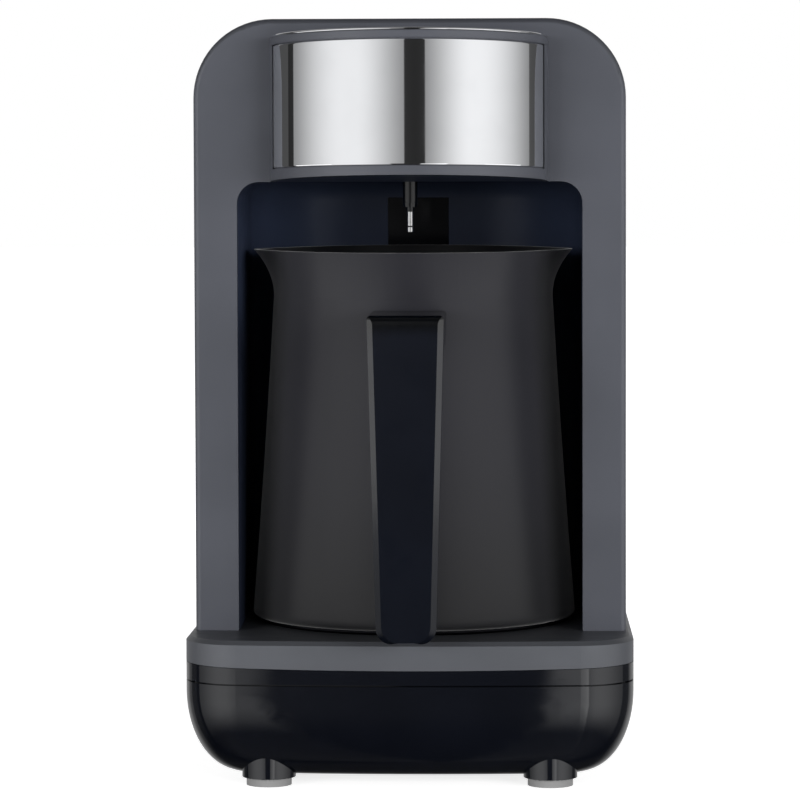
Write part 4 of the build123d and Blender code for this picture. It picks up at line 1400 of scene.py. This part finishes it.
@dataclass(frozen=True)
class Viewpoint:
    """Camera in front of the machine, nearly level with its head."""

    place: Colour = (0.0444, -1.38675, 0.2145)
    yaw: float = math.radians(-2.02)
    pitch: float = math.radians(3.01)
    roll: float = math.radians(-0.17)
    lens: float = 185.2
    sensor: float = 36.0
    shift_y: float = -0.07
    far: float = 50.0

    def build(self) -> None:
        """Makes the camera and sets it as the scene's."""
        forward = Vector(
            (
                math.sin(self.yaw) * math.cos(self.pitch),
                math.cos(self.yaw) * math.cos(self.pitch),
                -math.sin(self.pitch),
            )
        )
        level = Vector((math.cos(self.yaw), -math.sin(self.yaw), 0.0))
        upright = level.cross(forward)
        right = level * math.cos(self.roll) + upright * math.sin(self.roll)
        up = upright * math.cos(self.roll) - level * math.sin(self.roll)
        data = bpy.data.cameras.new("viewpoint")
        data.lens = self.lens
        data.sensor_width = self.sensor
        data.shift_y = self.shift_y
        data.clip_end = self.far
        camera = add_object("viewpoint", data)
        turn = Matrix((right, up, -forward)).transposed().to_4x4()
        camera.matrix_world = Matrix.Translation(self.place) @ turn
        bpy.context.scene.camera = camera


@dataclass(frozen=True)
class StripLight:
    """Low upright strip beside the machine, which shows in reflections alone."""

    name: str
    place_x: float
    front_y: float = -0.40
    rear_y: float = -0.02
    bottom: float = 0.035
    top: float = 0.15
    level: float = 1.5

    def build(self) -> None:
        """Makes the strip."""
        graph = material_graph(self.name)
        shade = graph.finish(graph.node("ShaderNodeEmission", inputs={"Strength": self.level}))
        corners = [
            (self.place_x, self.front_y, self.bottom),
            (self.place_x, self.rear_y, self.bottom),
            (self.place_x, self.rear_y, self.top),
            (self.place_x, self.front_y, self.top),
        ]
        strip = sheet(self.name, corners, shade)
        for ray in ("camera", "diffuse", "shadow", "transmission"):
            setattr(strip, f"visible_{ray}", False)


@dataclass(frozen=True)
class Studio:
    """Pale floor, white surroundings and soft, low lamps."""

    floor_half: float = 6.0
    floor_colour: Colour = (0.8, 0.8, 0.8)
    floor_glow: float = 0.78
    floor_far: float = 1.0
    floor_near: float = 0.25
    floor_away: float = 0.7
    target: Colour = (0.0, 0.0, 0.13)
    surroundings: Surroundings = Surroundings()
    strips: tuple[StripLight, ...] = (
        StripLight("strip_left", -0.5),
        StripLight("strip_right", 0.5),
    )
    lamps: tuple[Lamp, ...] = (
        Lamp("lamp_left", (-1.25, -1.5, 0.32), (1.1, 0.6), 21.0),
        Lamp("lamp_right", (1.25, -1.5, 0.32), (1.1, 0.6), 28.5),
        Lamp("lamp_rear_left", (-1.3, 1.5, 0.5), (1.0, 0.9), 14.0),
        Lamp("lamp_rear_right", (1.3, 1.5, 0.5), (1.0, 0.9), 14.0),
    )

    def floor_material(self) -> bpy.types.Material:
        """Pale matt floor that keeps shadows and is white where nothing shades it.

        Returns:
            Its material.
        """
        graph = material_graph("floor_pale")
        camera = graph.node("ShaderNodeLightPath", output="Is Camera Ray")
        matt = graph.node("ShaderNodeBsdfDiffuse", inputs={"Color": self.floor_colour})
        settings = {"operation": "LENGTH"}
        away = graph.node("ShaderNodeVectorMath", settings, {0: graph.place()}, "Value")
        far = away.smooth_step(self.floor_near, self.floor_away)
        glow_level = self.floor_glow + far * (self.floor_far - self.floor_glow)
        glow = graph.node("ShaderNodeEmission", inputs={"Color": camera * glow_level})
        return graph.finish(graph.node("ShaderNodeAddShader", inputs={0: matt, 1: glow}))

    def build(self) -> None:
        """Makes the floor, the surroundings and the lamps."""
        half = self.floor_half
        corners = [(-half, -half, 0), (half, -half, 0), (half, half, 0), (-half, half, 0)]
        floor = sheet("floor", corners, self.floor_material())
        floor.visible_glossy = False
        self.surroundings.build()
        for strip in self.strips:
            strip.build()
        for lamp in self.lamps:
            lamp.build(Vector(self.target))


def main() -> None:
    """Builds the whole scene, one sub-assembly after another."""
    logging.basicConfig(level=logging.INFO, format="%(message)s")
    shop = PaintShop()
    for part in (Tower(), Base(), Heater(), Head(), Controls(), Probe(), Pot(), Handle()):
        part.build(shop)
    Studio().build()
    Viewpoint().build()
    bpy.context.scene.view_settings.view_transform = "Standard"


if __name__ == "__main__":
    main()
